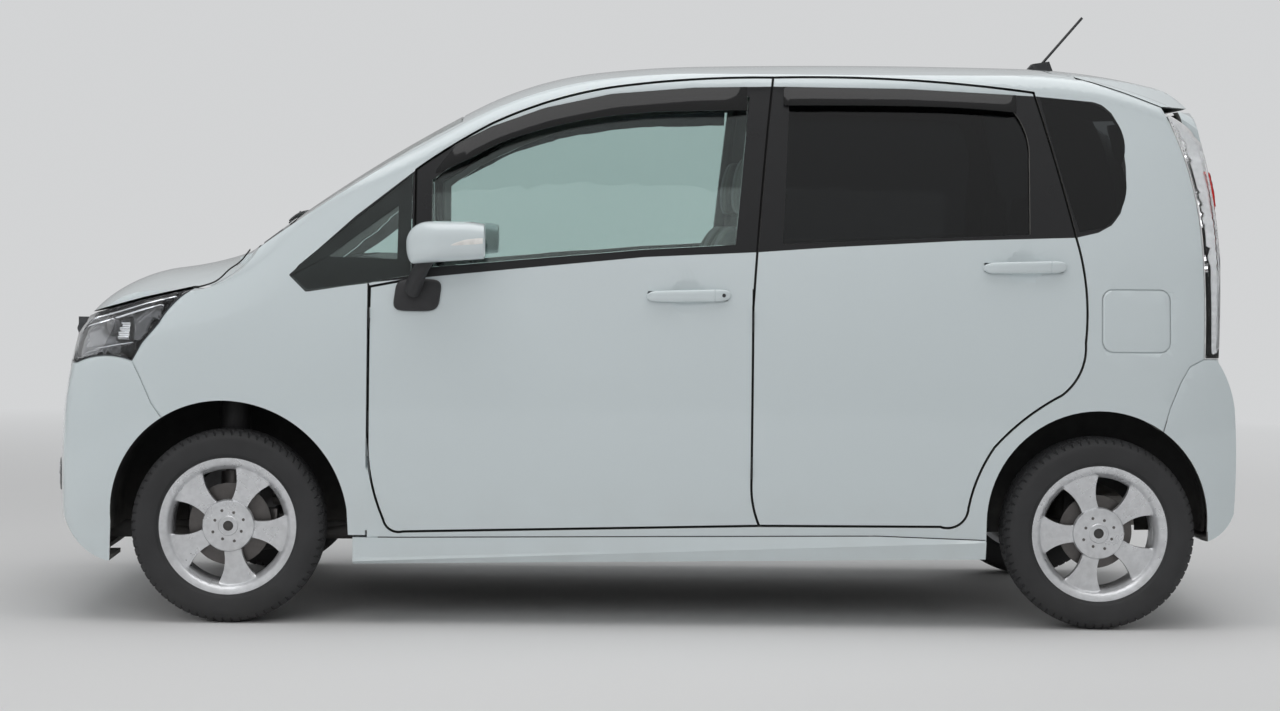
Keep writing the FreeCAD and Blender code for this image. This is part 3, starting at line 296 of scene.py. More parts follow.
@dataclass(frozen=True)
class Finish:
    """A plain finish: one colour with slight changes over the surface, and a fine relief."""

    name: str
    slot: str
    colour: Colour
    roughness: float = 0.5
    metallic: float = 0.0
    coat: float = 0.0
    grain: float = 0.0
    cells: float = 900.0
    dust: float = 0.0

    def build(self, groups: MaskGroups) -> bpy.types.Material:
        """Makes the material.

        Args:
            groups: the shared node groups.

        Returns:
            The material.
        """
        material = bpy.data.materials.new(self.name)
        material.use_nodes = True
        tree = material.node_tree
        self.dress(Graph(tree), tree.nodes["Principled BSDF"], groups)
        return material

    def dusted(self, g: Graph, groups: MaskGroups, colour: Socket, rough: Socket, dust_colour: Colour,
               rougher: float) -> tuple[Socket, Socket]:
        """Lays this finish's share of road dust over a colour and a roughness.

        Args:
            g: the graph that the nodes go to.
            groups: the shared node groups.
            colour: the clean colour.
            rough: the clean roughness.
            dust_colour: the colour of the dust.
            rougher: how much rougher the surface is where it is all dust.

        Returns:
            The colour and the roughness with the dust.
        """
        dust = g.math("MULTIPLY", g.group(groups.wear), self.dust)
        return (g.mix(dust, colour, rgba(dust_colour)),
                g.math("ADD", rough, g.math("MULTIPLY", dust, rougher), clamp=True))

    def dress(self, g: Graph, shader: bpy.types.Node, groups: MaskGroups) -> None:
        """Sets the shader's own values and joins its patterns."""
        place = g.place()
        cloud = g.span(g.noise(place, 60.0, 3.0), 0.35, 0.65)
        colour = g.mix(cloud, rgba(self.colour, 0.88), rgba(self.colour))
        rough = g.span(g.noise(place, 25.0, 3.0), 0.3, 0.7, self.roughness * 0.88,
                       min(1.0, self.roughness * 1.1))
        if self.dust:
            colour, rough = self.dusted(g, groups, colour, rough, (0.30, 0.28, 0.25), 0.4)
        g.join(shader, Metallic=self.metallic, Coat_Weight=self.coat, Coat_Roughness=0.04, Base_Color=colour,
               Roughness=rough)
        if self.grain:
            g.join(shader, Normal=g.bump(g.group(groups.grain, Cells=self.cells), self.grain, 0.0006))


@dataclass(frozen=True)
class PearlPaint(Finish):
    """Pearl white paint under clear lacquer, black around the side glass, painted shade in the door seams,
    trim inside the cabin.
    """

    black: Colour = (0.008, 0.008, 0.009)
    trim: Colour = (0.20, 0.195, 0.185)
    surround: bool = True
    lined: bool = True
    dark_below: float = 0.0

    def dress(self, g: Graph, shader: bpy.types.Node, groups: MaskGroups) -> None:
        """Lays flakes and lacquer ripple under the coat, and the uncoated masked finishes over them, one of
        them painted shade in the door seams.
        """
        place = g.place()
        colour = g.mix(g.span(g.cells(place, 2600.0), 0.0, 0.5), rgba(self.colour), rgba(self.colour, 0.94))
        rough = g.span(g.noise(place, 14.0), 0.3, 0.7, self.roughness, self.roughness * 1.25)
        coat: object = self.coat
        if self.dust:
            colour, rough = self.dusted(g, groups, colour, rough, (0.42, 0.40, 0.37), 0.5)
        masks: list[tuple[Socket, Colour]] = []
        x, _, z = g.axes(place)
        if self.surround:
            glazing = g.group(groups.glazing)
            rough = g.math("MULTIPLY", rough, g.span(glazing, 0.0, 1.0, 1.0, 0.9))
            masks.append((glazing, self.black))
            # Painted shade: the hinges and jambs in the door seams turn black, for the shadow in the gaps.
            for middle, half, low in HINGE_SEAM_SHADE:
                near = g.math("ABSOLUTE", g.math("SUBTRACT", x, middle))
                masks.append((g.product(g.span(near, half, half - 0.0002), g.span(z, low, low + 0.003),
                                        g.span(z, 0.954, 0.951)), self.black))
        if self.dark_below:
            masks.append((g.span(z, self.dark_below + 0.0005, self.dark_below - 0.0005), self.black))
        if self.lined:
            inward = g.group(groups.cabin)
            rough = g.math("ADD", rough, g.math("MULTIPLY", inward, 0.45), clamp=True)
            masks.append((inward, self.trim))
        for mask, over in masks:
            colour = g.mix(mask, colour, rgba(over))
            coat = g.math("MULTIPLY", coat, g.span(mask, 0.0, 1.0, 1.0, 0.0))
        g.join(shader, Base_Color=colour, Roughness=rough, Coat_Weight=coat, Coat_Roughness=0.03,
               Normal=g.bump(g.noise(place, 160.0, 1.0), 0.02, 0.0004))


@dataclass(frozen=True)
class Glass(Finish):
    """Clear or tinted glass, with a faint change of tint and gloss over the pane."""

    def dress(self, g: Graph, shader: bpy.types.Node, groups: MaskGroups) -> None:
        """Sets the glass values and joins the changes."""
        place = g.place()
        g.join(shader, Metallic=0.0, Transmission_Weight=1.0, IOR=1.45,
               Base_Color=g.mix(g.noise(place, 3.0), rgba(self.colour), rgba(self.colour, 1.04)),
               Roughness=g.span(g.noise(place, 8.0), 0.3, 0.7, self.roughness, self.roughness + 0.001))


@dataclass(frozen=True)
class Woven(Finish):
    """Woven cloth: two crossed waves of thread with a soft sheen."""

    def dress(self, g: Graph, shader: bpy.types.Node, groups: MaskGroups) -> None:
        """Joins the weave to colour and relief."""
        place = g.place()
        threads = []
        for direction in ("X", "Z"):
            wave = g.add("TexWave", Vector=place, Scale=250.0, Distortion=0.6)
            wave.bands_direction = direction
            threads.append(wave.outputs["Fac"])
        height = g.math("MAXIMUM", *threads)
        g.join(shader, Base_Color=g.mix(height, rgba(self.colour, 0.6), rgba(self.colour)),
               Roughness=g.span(height, 0.0, 1.0, 0.95, 0.8), Sheen_Weight=0.35,
               Normal=g.bump(height, 0.35, 0.0008))


@dataclass(frozen=True)
class TyreRubber(Finish):
    """Tyre rubber in slight clouds, dusty towards the ground, with a fine relief."""

    def dress(self, g: Graph, shader: bpy.types.Node, groups: MaskGroups) -> None:
        """Joins noise of several sizes to colour, roughness and relief."""
        place = g.place()
        cloud = g.span(g.noise(place, 12.0, 5.0), 0.3, 0.7)
        dust = g.math("MULTIPLY", g.group(groups.wear, Top=0.16, Bottom=-0.1), 0.35)
        colour = g.mix(cloud, rgba(self.colour), rgba(self.colour, 1.7))
        colour = g.mix(dust, colour, rgba((0.10, 0.095, 0.088)))
        g.join(shader, Base_Color=colour, Normal=g.bump(g.noise(place, 900.0, 3.0), 0.15, 0.0005),
               Roughness=g.span(cloud, 0.0, 1.0, self.roughness, self.roughness + 0.12))


PEARL = (0.67, 0.74, 0.76)

FINISHES: dict[str, Finish] = {finish.name: finish for finish in (
    PearlPaint("pearl paint", "body_paint", PEARL, 0.30, coat=1.0, dust=0.25),
    PearlPaint("pearl paint plain", "body_paint", PEARL, 0.30, coat=1.0, dust=0.2, surround=False,
               lined=False),
    PearlPaint("grille finish", "chrome_grille", PEARL, 0.28, coat=1.0, surround=False, lined=False,
               dark_below=0.819, black=(0.26, 0.27, 0.28)),
    Glass("clear glass", "clear_glass", (0.60, 0.71, 0.69), 0.0),
    Glass("privacy glass", "dark_glass", (0.045, 0.05, 0.052), 0.0),
    Glass("smoked visor", "dark_glass", (0.02, 0.02, 0.022), 0.05),
    Glass("clear lens", "head_lamp", (0.93, 0.94, 0.95), 0.0),
    Glass("red lens", "tail_lamp", (0.55, 0.012, 0.010), 0.02),
    Finish("turn lens", "head_lamp", (0.88, 0.87, 0.84), 0.08),
    Finish("dark dome", "head_lamp", (0.015, 0.015, 0.020), 0.06, coat=0.3),
    Finish("blank plate", "black_trim", (0.72, 0.71, 0.66), 0.35),
    Finish("grained black", "black_trim", (0.028, 0.028, 0.030), 0.55, grain=0.35, cells=1400.0, dust=0.4),
    # Black finish of the seals and the printed corner border, also used for the dark tubes of painted shade
    # in shut gaps.
    Finish("rubber seal", "black_trim", (0.018, 0.018, 0.018), 0.62, grain=0.1, cells=2600.0),
    Finish("wheel arch felt", "liner", (0.020, 0.020, 0.020), 0.85, grain=0.5, cells=500.0, dust=0.5),
    Finish("plated chrome", "chrome_grille", (0.78, 0.79, 0.81), 0.07, metallic=1.0),
    Finish("lamp reflector", "head_lamp", (0.86, 0.87, 0.88), 0.10, metallic=1.0),
    Finish("pale reflector", "tail_lamp", (0.86, 0.86, 0.86), 0.32, metallic=0.1),
    Finish("smoked bezel", "head_lamp", (0.07, 0.072, 0.078), 0.22, metallic=0.5, coat=0.5),
    Finish("silver wheel", "wheel_silver", (0.74, 0.75, 0.77), 0.28, metallic=0.55, coat=0.5, dust=0.2),
    Finish("brake iron", "chassis_steel", (0.16, 0.15, 0.145), 0.42, metallic=0.8, grain=0.1, cells=600.0),
    Finish("chassis black", "chassis_steel", (0.030, 0.030, 0.031), 0.5, metallic=0.2, grain=0.2, dust=0.5),
    Finish("underseal", "underbody", (0.035, 0.035, 0.037), 0.75, grain=0.5, cells=450.0, dust=0.5),
    Finish("cast alloy", "engine_alloy", (0.42, 0.42, 0.43), 0.5, metallic=0.9, grain=0.35, cells=700.0),
    Finish("exhaust steel", "exhaust_steel", (0.45, 0.43, 0.41), 0.38, metallic=0.95, dust=0.4),
    Finish("tank plastic", "black_trim", (0.03, 0.03, 0.03), 0.6, grain=0.3, cells=800.0, dust=0.5),
    Finish("dash plastic", "cabin_plastic", (0.085, 0.083, 0.080), 0.6, grain=0.45, cells=1100.0),
    Woven("seat cloth", "seat_fabric", (0.20, 0.195, 0.185), 0.9),
    Finish("mirror silver", "chrome_grille", (0.86, 0.88, 0.90), 0.02, metallic=1.0),
    TyreRubber("tyre rubber", "tyre_rubber", (0.022, 0.022, 0.023), 0.62),
)}


def around(count: int) -> Array:
    """Angles in equal steps of a whole turn."""
    return np.linspace(0.0, 2.0 * math.pi, count, endpoint=False)


def rounded(turn: Array, power: float) -> tuple[Array, Array]:
    """The angles' cosine and sine, each raised to a power and with its sign kept.

    Formula in words: together they run around a circle for the power 1, and around a squarer
    oblong the smaller the power is.
    """
    across, up = np.cos(turn), np.sin(turn)
    return np.sign(across) * np.abs(across) ** power, np.sign(up) * np.abs(up) ** power


def points_of(x: Array | float, y: Array | float, z: Array | float) -> Array:
    """An array of points from coordinates that are stretched to one shape."""
    return np.stack(np.broadcast_arrays(x, y, z), -1)


def unit(vectors: Array) -> Array:
    """The vectors at length one."""
    return vectors / np.linalg.norm(vectors, axis=-1, keepdims=True)


def line_at(rows: tuple[Spot, ...], x: Array) -> Array:
    """The height of a broken line of (x, z) rows at each x."""
    table = np.array(sorted(rows))
    return np.interp(x, table[:, 0], table[:, 1])


def lattice(points: Array, wrap_rows: bool = False, wrap_columns: bool = False) -> Surface:
    """Vertices and quads of a grid of points.

    Args:
        points: an array of rows by columns by 3.
        wrap_rows: joins the last row to the first.
        wrap_columns: joins the last column to the first.

    Returns:
        The vertices and the quads.
    """
    rows, columns = points.shape[:2]
    index = np.arange(rows * columns).reshape(rows, columns)
    if wrap_rows:
        index = np.concatenate([index, index[:1]], 0)
    if wrap_columns:
        index = np.concatenate([index, index[:, :1]], 1)
    quads = np.stack([index[:-1, :-1], index[1:, :-1], index[1:, 1:], index[:-1, 1:]], -1)
    return points.reshape(-1, 3), quads.reshape(-1, 4)


def capped(rings: Array) -> Surface:
    """Stacked rings as a surface whose ends close at the middle of the first and last ring."""
    first, last = (rings[i].mean(0)[None, None].repeat(rings.shape[1], 1) for i in (0, -1))
    return lattice(np.concatenate([first, rings, last]), wrap_columns=True)


def closed_sheet(front: Array, thickness: float, inward: Array | Point = INWARD) -> list[Surface]:
    """A grid of points as a plate with a back and four edges.

    Formula in words: the back is the front moved by the thickness along the inward direction,
    and a strip of quads along each of the four edges joins the two.

    Args:
        front: an array of rows by columns by 3.
        thickness: how far the back is from it.
        inward: the direction of the back, one for all points or one for each.

    Returns:
        The front, the back and the edges.
    """
    back = front + thickness * np.asarray(inward)
    edges = ((front[0], back[0]), (front[-1], back[-1]), (front[:, 0], back[:, 0]),
             (front[:, -1], back[:, -1]))
    return [lattice(front), lattice(back[::-1])] + [lattice(np.stack(edge)) for edge in edges]


def spun(profile: Array, centre: Point, axis: Point = INWARD, steps: int = 96) -> Surface:
    """A profile turned about an axis.

    Formula in words: a profile point (r, h) goes to the centre plus h along the axis plus r times
    the direction at angle t in the plane across the axis, with t in equal steps of a whole turn.

    Args:
        profile: rows of (r, h); a closed ring of points gives a solid of revolution.
        centre: a point of the axis.
        axis: its direction.
        steps: the number of steps in the turn.

    Returns:
        The vertices and the quads.
    """
    normal = unit(np.array(axis, float))
    helper = np.array((1.0, 0.0, 0.0)) if abs(normal[0]) < 0.9 else np.array((0.0, 0.0, 1.0))
    first = unit(helper - normal * (helper @ normal))
    turn = around(steps)[:, None, None]
    ring = np.cos(turn) * first + np.sin(turn) * np.cross(normal, first)
    return lattice(np.array(centre) + profile[:, :1] * ring + profile[:, 1:] * normal, wrap_rows=True)


def tube(path: Array, radii: Array | float, sides: int = 12, flat: float = 1.0) -> Surface:
    """A tube along a path with closed ends.

    Formula in words: at each path point a circle of that point's radius stands across the path,
    with its second radius scaled by flat, and the end circles shrink to a point.

    Args:
        path: points of the centre line.
        radii: one radius, or one for each point.
        sides: points around.
        flat: the scale of the second radius.

    Returns:
        The vertices and the quads.
    """
    radius = np.concatenate([[1e-5], np.broadcast_to(radii, (len(path),)), [1e-5]])[:, None, None]
    path = np.concatenate([path[:1], path, path[-1:]])
    ahead = unit(np.gradient(path, axis=0))
    up = np.array((0.0, 0.0, 1.0)) if abs(ahead[:, 2]).mean() < 0.8 else np.array((1.0, 0.0, 0.0))
    across = unit(np.cross(ahead, up))
    over = np.cross(across, ahead)
    turn = around(sides)[:, None]
    points = path[:, None] + radius * (np.cos(turn) * across[:, None] + flat * np.sin(turn) * over[:, None])
    return lattice(points, wrap_columns=True)


def smooth_path(knots: list[Point], steps: int = 12) -> Array:
    """A Catmull-Rom line through the knots, as points.

    Formula in words: between two knots the line is a cubic whose slopes are half the step from
    the knot before to the knot after.

    Args:
        knots: the points that the line passes.
        steps: the number of steps from a knot to the next.

    Returns:
        The line's points.
    """
    k = np.array(knots, float)
    k = np.concatenate([2 * k[:1] - k[1:2], k, 2 * k[-1:] - k[-2:-1]])
    t = np.linspace(0.0, 1.0, steps, endpoint=False)[None, :, None]
    a, b, c, d = (k[i:len(k) - 3 + i, None] for i in range(4))
    line = 0.5 * (2 * b + (c - a) * t + (2 * a - 5 * b + 4 * c - d) * t ** 2
                  + (3 * b - a - 3 * c + d) * t ** 3)
    return np.concatenate([line.reshape(-1, 3), k[-2:-1]])


def mirrored(parts: list[Surface]) -> list[Surface]:
    """The same surfaces on the other side of the car."""
    return [(points * (1.0, -1.0, 1.0), faces[:, ::-1]) for points, faces in parts]


def merge(work: bmesh.types.BMesh, near: float, flat: float) -> None:
    """Merges doubled vertices and drops faces without area."""
    bmesh.ops.remove_doubles(work, verts=work.verts, dist=near)
    bmesh.ops.dissolve_degenerate(work, edges=work.edges, dist=flat)


def mesh_of(name: str, parts: list[Surface]) -> bpy.types.Mesh:
    """Joins vertex and quad arrays into one mesh with merged doubles and outward faces."""
    bases = np.cumsum([0] + [len(points) for points, _ in parts])
    quads = np.concatenate([faces + base for (_, faces), base in zip(parts, bases)])
    mesh = bpy.data.meshes.new(name)
    mesh.from_pydata(np.concatenate([points for points, _ in parts]).tolist(), [], quads.tolist())
    work = bmesh.new()
    work.from_mesh(mesh)
    merge(work, 1e-6, 1e-7)
    bmesh.ops.recalc_face_normals(work, faces=work.faces)
    work.to_mesh(mesh)
    work.free()
    return mesh


class Shop:
    """Keeps the finished materials and puts new meshes into the scene."""

    def __init__(self, frame: dict) -> None:
        """Builds the node groups and notes which body each CAD node moves with.
        """
        self.frame = frame
        self.groups = MaskGroups()
        self.made: dict[str, bpy.types.Material] = {}
        bodies = frame["record"]["behaviour"]["bodies"]
        self.body_of = {node: body for body, nodes in bodies.items() for node in nodes}

    def material(self, name: str) -> bpy.types.Material:
        """The finish of this name as a material, made when it is first asked for."""
        if name not in self.made:
            self.made[name] = FINISHES[name].build(self.groups)
        return self.made[name]

    def merged(self, node: str) -> bmesh.types.BMesh:
        """A copy of a CAD node's mesh with merged doubles."""
        work = bmesh.new()
        work.from_mesh(self.frame["nodes"][node].data)
        merge(work, 2e-5, 1e-6)
        return work

    def add(self, name: str, mesh: bpy.types.Mesh, finish: str, body: str = "root", angle: float = 32.0,
            hides: tuple[str, ...] = ()) -> bpy.types.Object:
        """Puts a mesh into the scene as one piece of the car.

        Args:
            name: the piece's name.
            mesh: its mesh, in the row frame.
            finish: the name of its finish.
            body: the CAD body it moves with.
            angle: edges sharper than this many degrees stay sharp.
            hides: CAD nodes that it stands for.

        Returns:
            The piece.
        """
        mesh.materials.clear()
        mesh.materials.append(self.material(finish))
        mesh.polygons.foreach_set("material_index", np.zeros(len(mesh.polygons), np.int32))
        mesh.shade_smooth()
        mesh.set_sharp_from_angle(angle=math.radians(angle))
        piece = bpy.data.objects.new(name, mesh)
        bpy.context.scene.collection.objects.link(piece)
        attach(piece, body)
        if hides:
            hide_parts(*hides)
        log.info("%s on %s, %d faces", name, body, len(mesh.polygons))
        return piece

    def surface(self, name: str, parts: list[Surface], finish: str, body: str = "root", angle: float = 32.0,
                hides: tuple[str, ...] = ()) -> bpy.types.Object:
        """Puts surfaces given as vertex and quad arrays into the scene as one piece."""
        return self.add(name, mesh_of(name, parts), finish, body, angle, hides)

    def pair(self, name: str, parts: list[Surface], finish: str, body: str = "root",
             angle: float = 32.0) -> None:
        """Puts left-side surfaces and their mirror images into the scene as one piece."""
        self.surface(name, parts + mirrored(parts), finish, body, angle)

    def on_side(self, side: Side, name: str, parts: list[Surface], finish: str, node: str,
                angle: float = 32.0, hides: bool = False) -> None:
        """Puts left-side surfaces, or their mirror images, into the scene as a piece of one side.

        Args:
            side: the side; its word ends the names of the piece and of the node.
            name: the piece's name before that word.
            parts: the surfaces of the left side.
            finish: the name of their finish.
            node: the CAD node, before that word, whose body they move with.
            angle: edges sharper than this many degrees stay sharp.
            hides: whether they stand for that node.
        """
        carrier = f"{node}_{side.word}"
        self.surface(f"{name}_{side.word}", parts if side is Side.LEFT else mirrored(parts), finish,
                     self.body_of[carrier], angle, (carrier,) if hides else ())

    def second_finish(self, piece: bpy.types.Object, finish: str, chosen: Callable[[Array], Array]) -> None:
        """Gives another finish to some faces of a piece.

        Args:
            piece: the piece.
            finish: the name of that finish.
            chosen: tells for an array of the faces' middles which ones get it.
        """
        faces = piece.data.polygons
        piece.data.materials.append(self.material(finish))
        middles = np.zeros(len(faces) * 3)
        faces.foreach_get("center", middles)
        faces.foreach_set("material_index", chosen(middles.reshape(-1, 3)).astype(np.int32))

    def copy_of(self, node: str, finish: str, angle: float = 32.0,
                leave_out: Callable[[Vector], bool] | None = None) -> bpy.types.Object:
        """Stands a merged and smoothed copy of a CAD node in its place.

        Args:
            node: the CAD node.
            finish: the name of the copy's finish.
            angle: edges sharper than this many degrees stay sharp.
            leave_out: tells by a face's middle whether another piece takes the face's place.

        Returns:
            The copy.
        """
        work = self.merged(node)
        if leave_out:
            gone = [face for face in work.faces if leave_out(face.calc_center_median())]
            bmesh.ops.delete(work, geom=gone, context="FACES")
        mesh = bpy.data.meshes.new(node + "_finished")
        work.to_mesh(mesh)
        work.free()
        piece = self.add(node + "_finished", mesh, finish, self.body_of[node], angle, (node,))
        even = piece.modifiers.new("even shading", "WEIGHTED_NORMAL")
        even.mode = "FACE_AREA"
        even.weight = 50
        even.keep_sharp = True
        return piece


class BodySkin:
    """Finds points of the car's outer surface on CAD nodes."""

    def __init__(self, shop: Shop, *nodes: str) -> None:
        """Gathers the nodes' faces into one tree for rays."""
        work = bmesh.new()
        for node in nodes:
            work.from_mesh(shop.frame["nodes"][node].data)
        self.tree = BVHTree.FromBMesh(work)
        work.free()

    def _depths(self, starts: Array, rays: Array, most: float) -> Array:
        """How far each ray runs to the surface; one that misses takes its neighbours' depth."""
        hits = [self.tree.ray_cast(Vector(p), Vector(ray), most) for p, ray in zip(starts, rays)]
        depth = np.array([hit[3] if hit[0] is not None else np.nan for hit in hits])
        known = np.flatnonzero(~np.isnan(depth))
        return np.interp(np.arange(len(depth)), known, depth[known])

    def laid(self, points: Array, towards: Point, lift: float = 0.0) -> Array:
        """Moves each point along a direction until it meets the surface.

        Args:
            points: an array whose last axis is x, y and z, placed outside the surface.
            towards: the direction of the rays.
            lift: how far above the surface the result stands.

        Returns:
            The array of points on or above the surface.
        """
        flat = points.reshape(-1, 3)
        ray = np.array(Vector(towards).normalized())
        depth = self._depths(flat, np.broadcast_to(ray, flat.shape), 3.0)
        return (flat + (depth - lift)[:, None] * ray).reshape(points.shape)

    def beside(self, x: Array, z: Array, lift: float = 0.0) -> Array:
        """Points of the left side at these places of the side view, above the surface by the lift."""
        return self.laid(points_of(x, BESIDE_Y, z), INWARD, lift)

    def about(self, centre: Spot, turn: Array, z: Array, depth: Array | float) -> Array:
        """Points behind the surface, reached by level rays towards an upright line.

        Formula in words: a ray starts a metre out from the line through the centre, at the
        given angle, and runs towards that line until it meets the surface; the point then goes
        on along the ray by the depth.

        Args:
            centre: where the upright line stands.
            turn: angles about the line, in radians.
            z: heights, of the same shape or one for all.
            depth: how far behind the surface.

        Returns:
            Points, with one more axis than turn.
        """
        t, height = turn.reshape(-1), np.broadcast_to(z, turn.shape).reshape(-1)
        out = points_of(np.cos(t), np.sin(t), 0.0)
        start = points_of(centre[0], centre[1], height) + out
        run = self._depths(start, -out, 1.0) + np.broadcast_to(depth, turn.shape).reshape(-1)
        return (start - run[:, None] * out).reshape(*turn.shape, 3)


class Studio:
    """The floor, lamps, world and camera."""

    pale = (0.90, 0.91, 0.92)
    glow = 0.72
    lamps = (
        ("lamp_over", (0.3, -0.8, 5.2), (7.0, 5.0), 150.0),
        ("lamp_left", (-1.5, -7.5, 3.4), (7.0, 3.0), 125.0),
        ("lamp_front", (-7.5, -2.0, 3.0), (4.0, 3.0), 80.0),
        ("lamp_right", (2.0, 7.5, 3.4), (7.0, 3.0), 90.0),
        ("lamp_rear", (7.5, 1.0, 3.0), (4.0, 3.0), 70.0),
    )

    def build(self) -> None:
        """Makes a pale floor, soft light from above and all sides, and the photo's camera."""
        scene = bpy.context.scene
        scene.view_settings.view_transform = "Standard"
        self._floor(scene)
        self._world(scene)
        for name, place, size, power in self.lamps:
            light = bpy.data.lights.new(name, "AREA")
            light.shape = "RECTANGLE"
            light.size, light.size_y = size
            light.energy = power
            lamp = bpy.data.objects.new(name, light)
            lamp.location = place
            lamp.visible_glossy = name == "lamp_over"
            aim = Vector((0.0, 0.0, 0.7)) - Vector(place)
            lamp.rotation_euler = aim.to_track_quat("-Z", "Y").to_euler()
            scene.collection.objects.link(lamp)
        self._camera(scene)

    def _floor(self, scene: bpy.types.Scene) -> None:
        """A wide pale floor that fades into the background for the eye, and not for its light."""
        half = 40.0
        mesh = bpy.data.meshes.new("floor")
        corners = [(-half, -half, 0.0), (-half, half, 0.0), (half, half, 0.0), (half, -half, 0.0)]
        mesh.from_pydata(corners, [], [(3, 2, 1, 0)])
        material = bpy.data.materials.new("pale floor")
        material.use_nodes = True
        nodes = material.node_tree.nodes
        g = Graph(material.node_tree)
        shader = g.join(nodes["Principled BSDF"], Base_Color=rgba((0.74, 0.74, 0.74)), Roughness=0.9,
                        Specular_IOR_Level=0.1)
        path = g.add("LightPath").outputs
        seen = g.math("MAXIMUM", path["Is Camera Ray"],
                      g.math("MAXIMUM", path["Is Glossy Ray"], path["Is Transmission Ray"]))
        fade = g.math("MULTIPLY", g.span(g.vector("LENGTH", g.place()), 2.4, 9.0), seen)
        blend = g.add("MixShader", Fac=fade)
        glow = g.add("Emission", Color=rgba(self.pale), Strength=self.glow)
        g.put(blend.inputs[1], shader.outputs[0])
        g.put(blend.inputs[2], glow.outputs[0])
        g.put(nodes["Material Output"].inputs["Surface"], blend.outputs[0])
        mesh.materials.append(material)
        floor = bpy.data.objects.new("floor", mesh)
        scene.collection.objects.link(floor)

    def _world(self, scene: bpy.types.Scene) -> None:
        """An even pale world, brighter to the camera and through glass, and graded in reflections."""
        world = bpy.data.worlds.new("studio")
        world.use_nodes = True
        g = Graph(world.node_tree)
        path = g.add("LightPath").outputs
        seen = g.math("MAXIMUM", path["Is Camera Ray"], path["Is Transmission Ray"])
        rise = g.axes(g.add("TexCoord").outputs["Generated"])[2]
        shown = g.math("MULTIPLY", g.span(rise, 0.0, 0.8, 0.08, 0.5), path["Is Glossy Ray"])
        g.join(world.node_tree.nodes["Background"], Color=rgba(self.pale),
               Strength=g.math("ADD", g.span(seen, 0.0, 1.0, 0.30, self.glow), shown))
        scene.world = world

    @staticmethod
    def _camera(scene: bpy.types.Scene) -> None:
        """The camera that was fitted to the photo: its right, up, back and place in columns."""
        camera = bpy.data.objects.new("camera", bpy.data.cameras.new("camera"))
        camera.matrix_world = Matrix((
            (0.99961181, -0.01062754, -0.02575428, -0.23866),
            (-0.02524325, 0.04570234, -0.99863611, -8.8),
            (0.01179008, 0.99889857, 0.04541632, 1.13094),
            (0.0, 0.0, 0.0, 1.0),
        ))
        sensor, focal_pixels, photo_width = 36.0, 2887.0, 1280.0
        camera.data.sensor_width = sensor
        camera.data.lens = sensor * focal_pixels / photo_width
        camera.data.clip_end = 200.0
        scene.collection.objects.link(camera)
        scene.camera = camera


class Shell:
    """The pieces that are CAD nodes with another finish."""

    painted = ("door_front_left", "door_front_right", "door_rear_left", "door_rear_right", "side_frame_left",
               "side_frame_right", "fender_left", "fender_right", "hood", "roof", "spoiler", "front_bumper",
               "rear_bumper", "back_door")
    dressed = {
        "floor_pan": "underseal", "bulkhead": "grained black", "grilles": "grille finish",
        "wheel_liners": "wheel arch felt", "radiator_panel": "chassis black", "dashboard": "dash plastic",
        "engine_block": "cast alloy", "fuel_tank": "tank plastic", "exhaust": "exhaust steel",
        "front_suspension": "chassis black", "rear_axle": "chassis black", "antenna": "grained black",
        "knuckle_left": "brake iron", "knuckle_right": "brake iron", "steering_wheel": "dash plastic",
        "windscreen": "clear glass", "back_door_glass": "privacy glass",
        "door_glass_front_left": "clear glass", "door_glass_front_right": "clear glass",
        "door_glass_rear_left": "privacy glass", "door_glass_rear_right": "privacy glass",
    }

    def build(self, shop: Shop) -> None:
        """Stands smoothed copies in for the CAD nodes; the front corner panes are clear."""
        grips = {f"door_{grip.door}": grip.covers for grip in GRIPS}
        for node in self.painted:
            shop.copy_of(node, "pearl paint", SKIN_ANGLE, grips.get(node.rsplit("_", 1)[0]))
        shop.copy_of("side_skirts", "pearl paint plain", SKIN_ANGLE)
        for node, finish in self.dressed.items():
            shop.copy_of(node, finish)
        panes = shop.copy_of("fixed_side_glass", "privacy glass")
        shop.second_finish(panes, "clear glass", lambda middle: middle[:, 0] < 0.0)


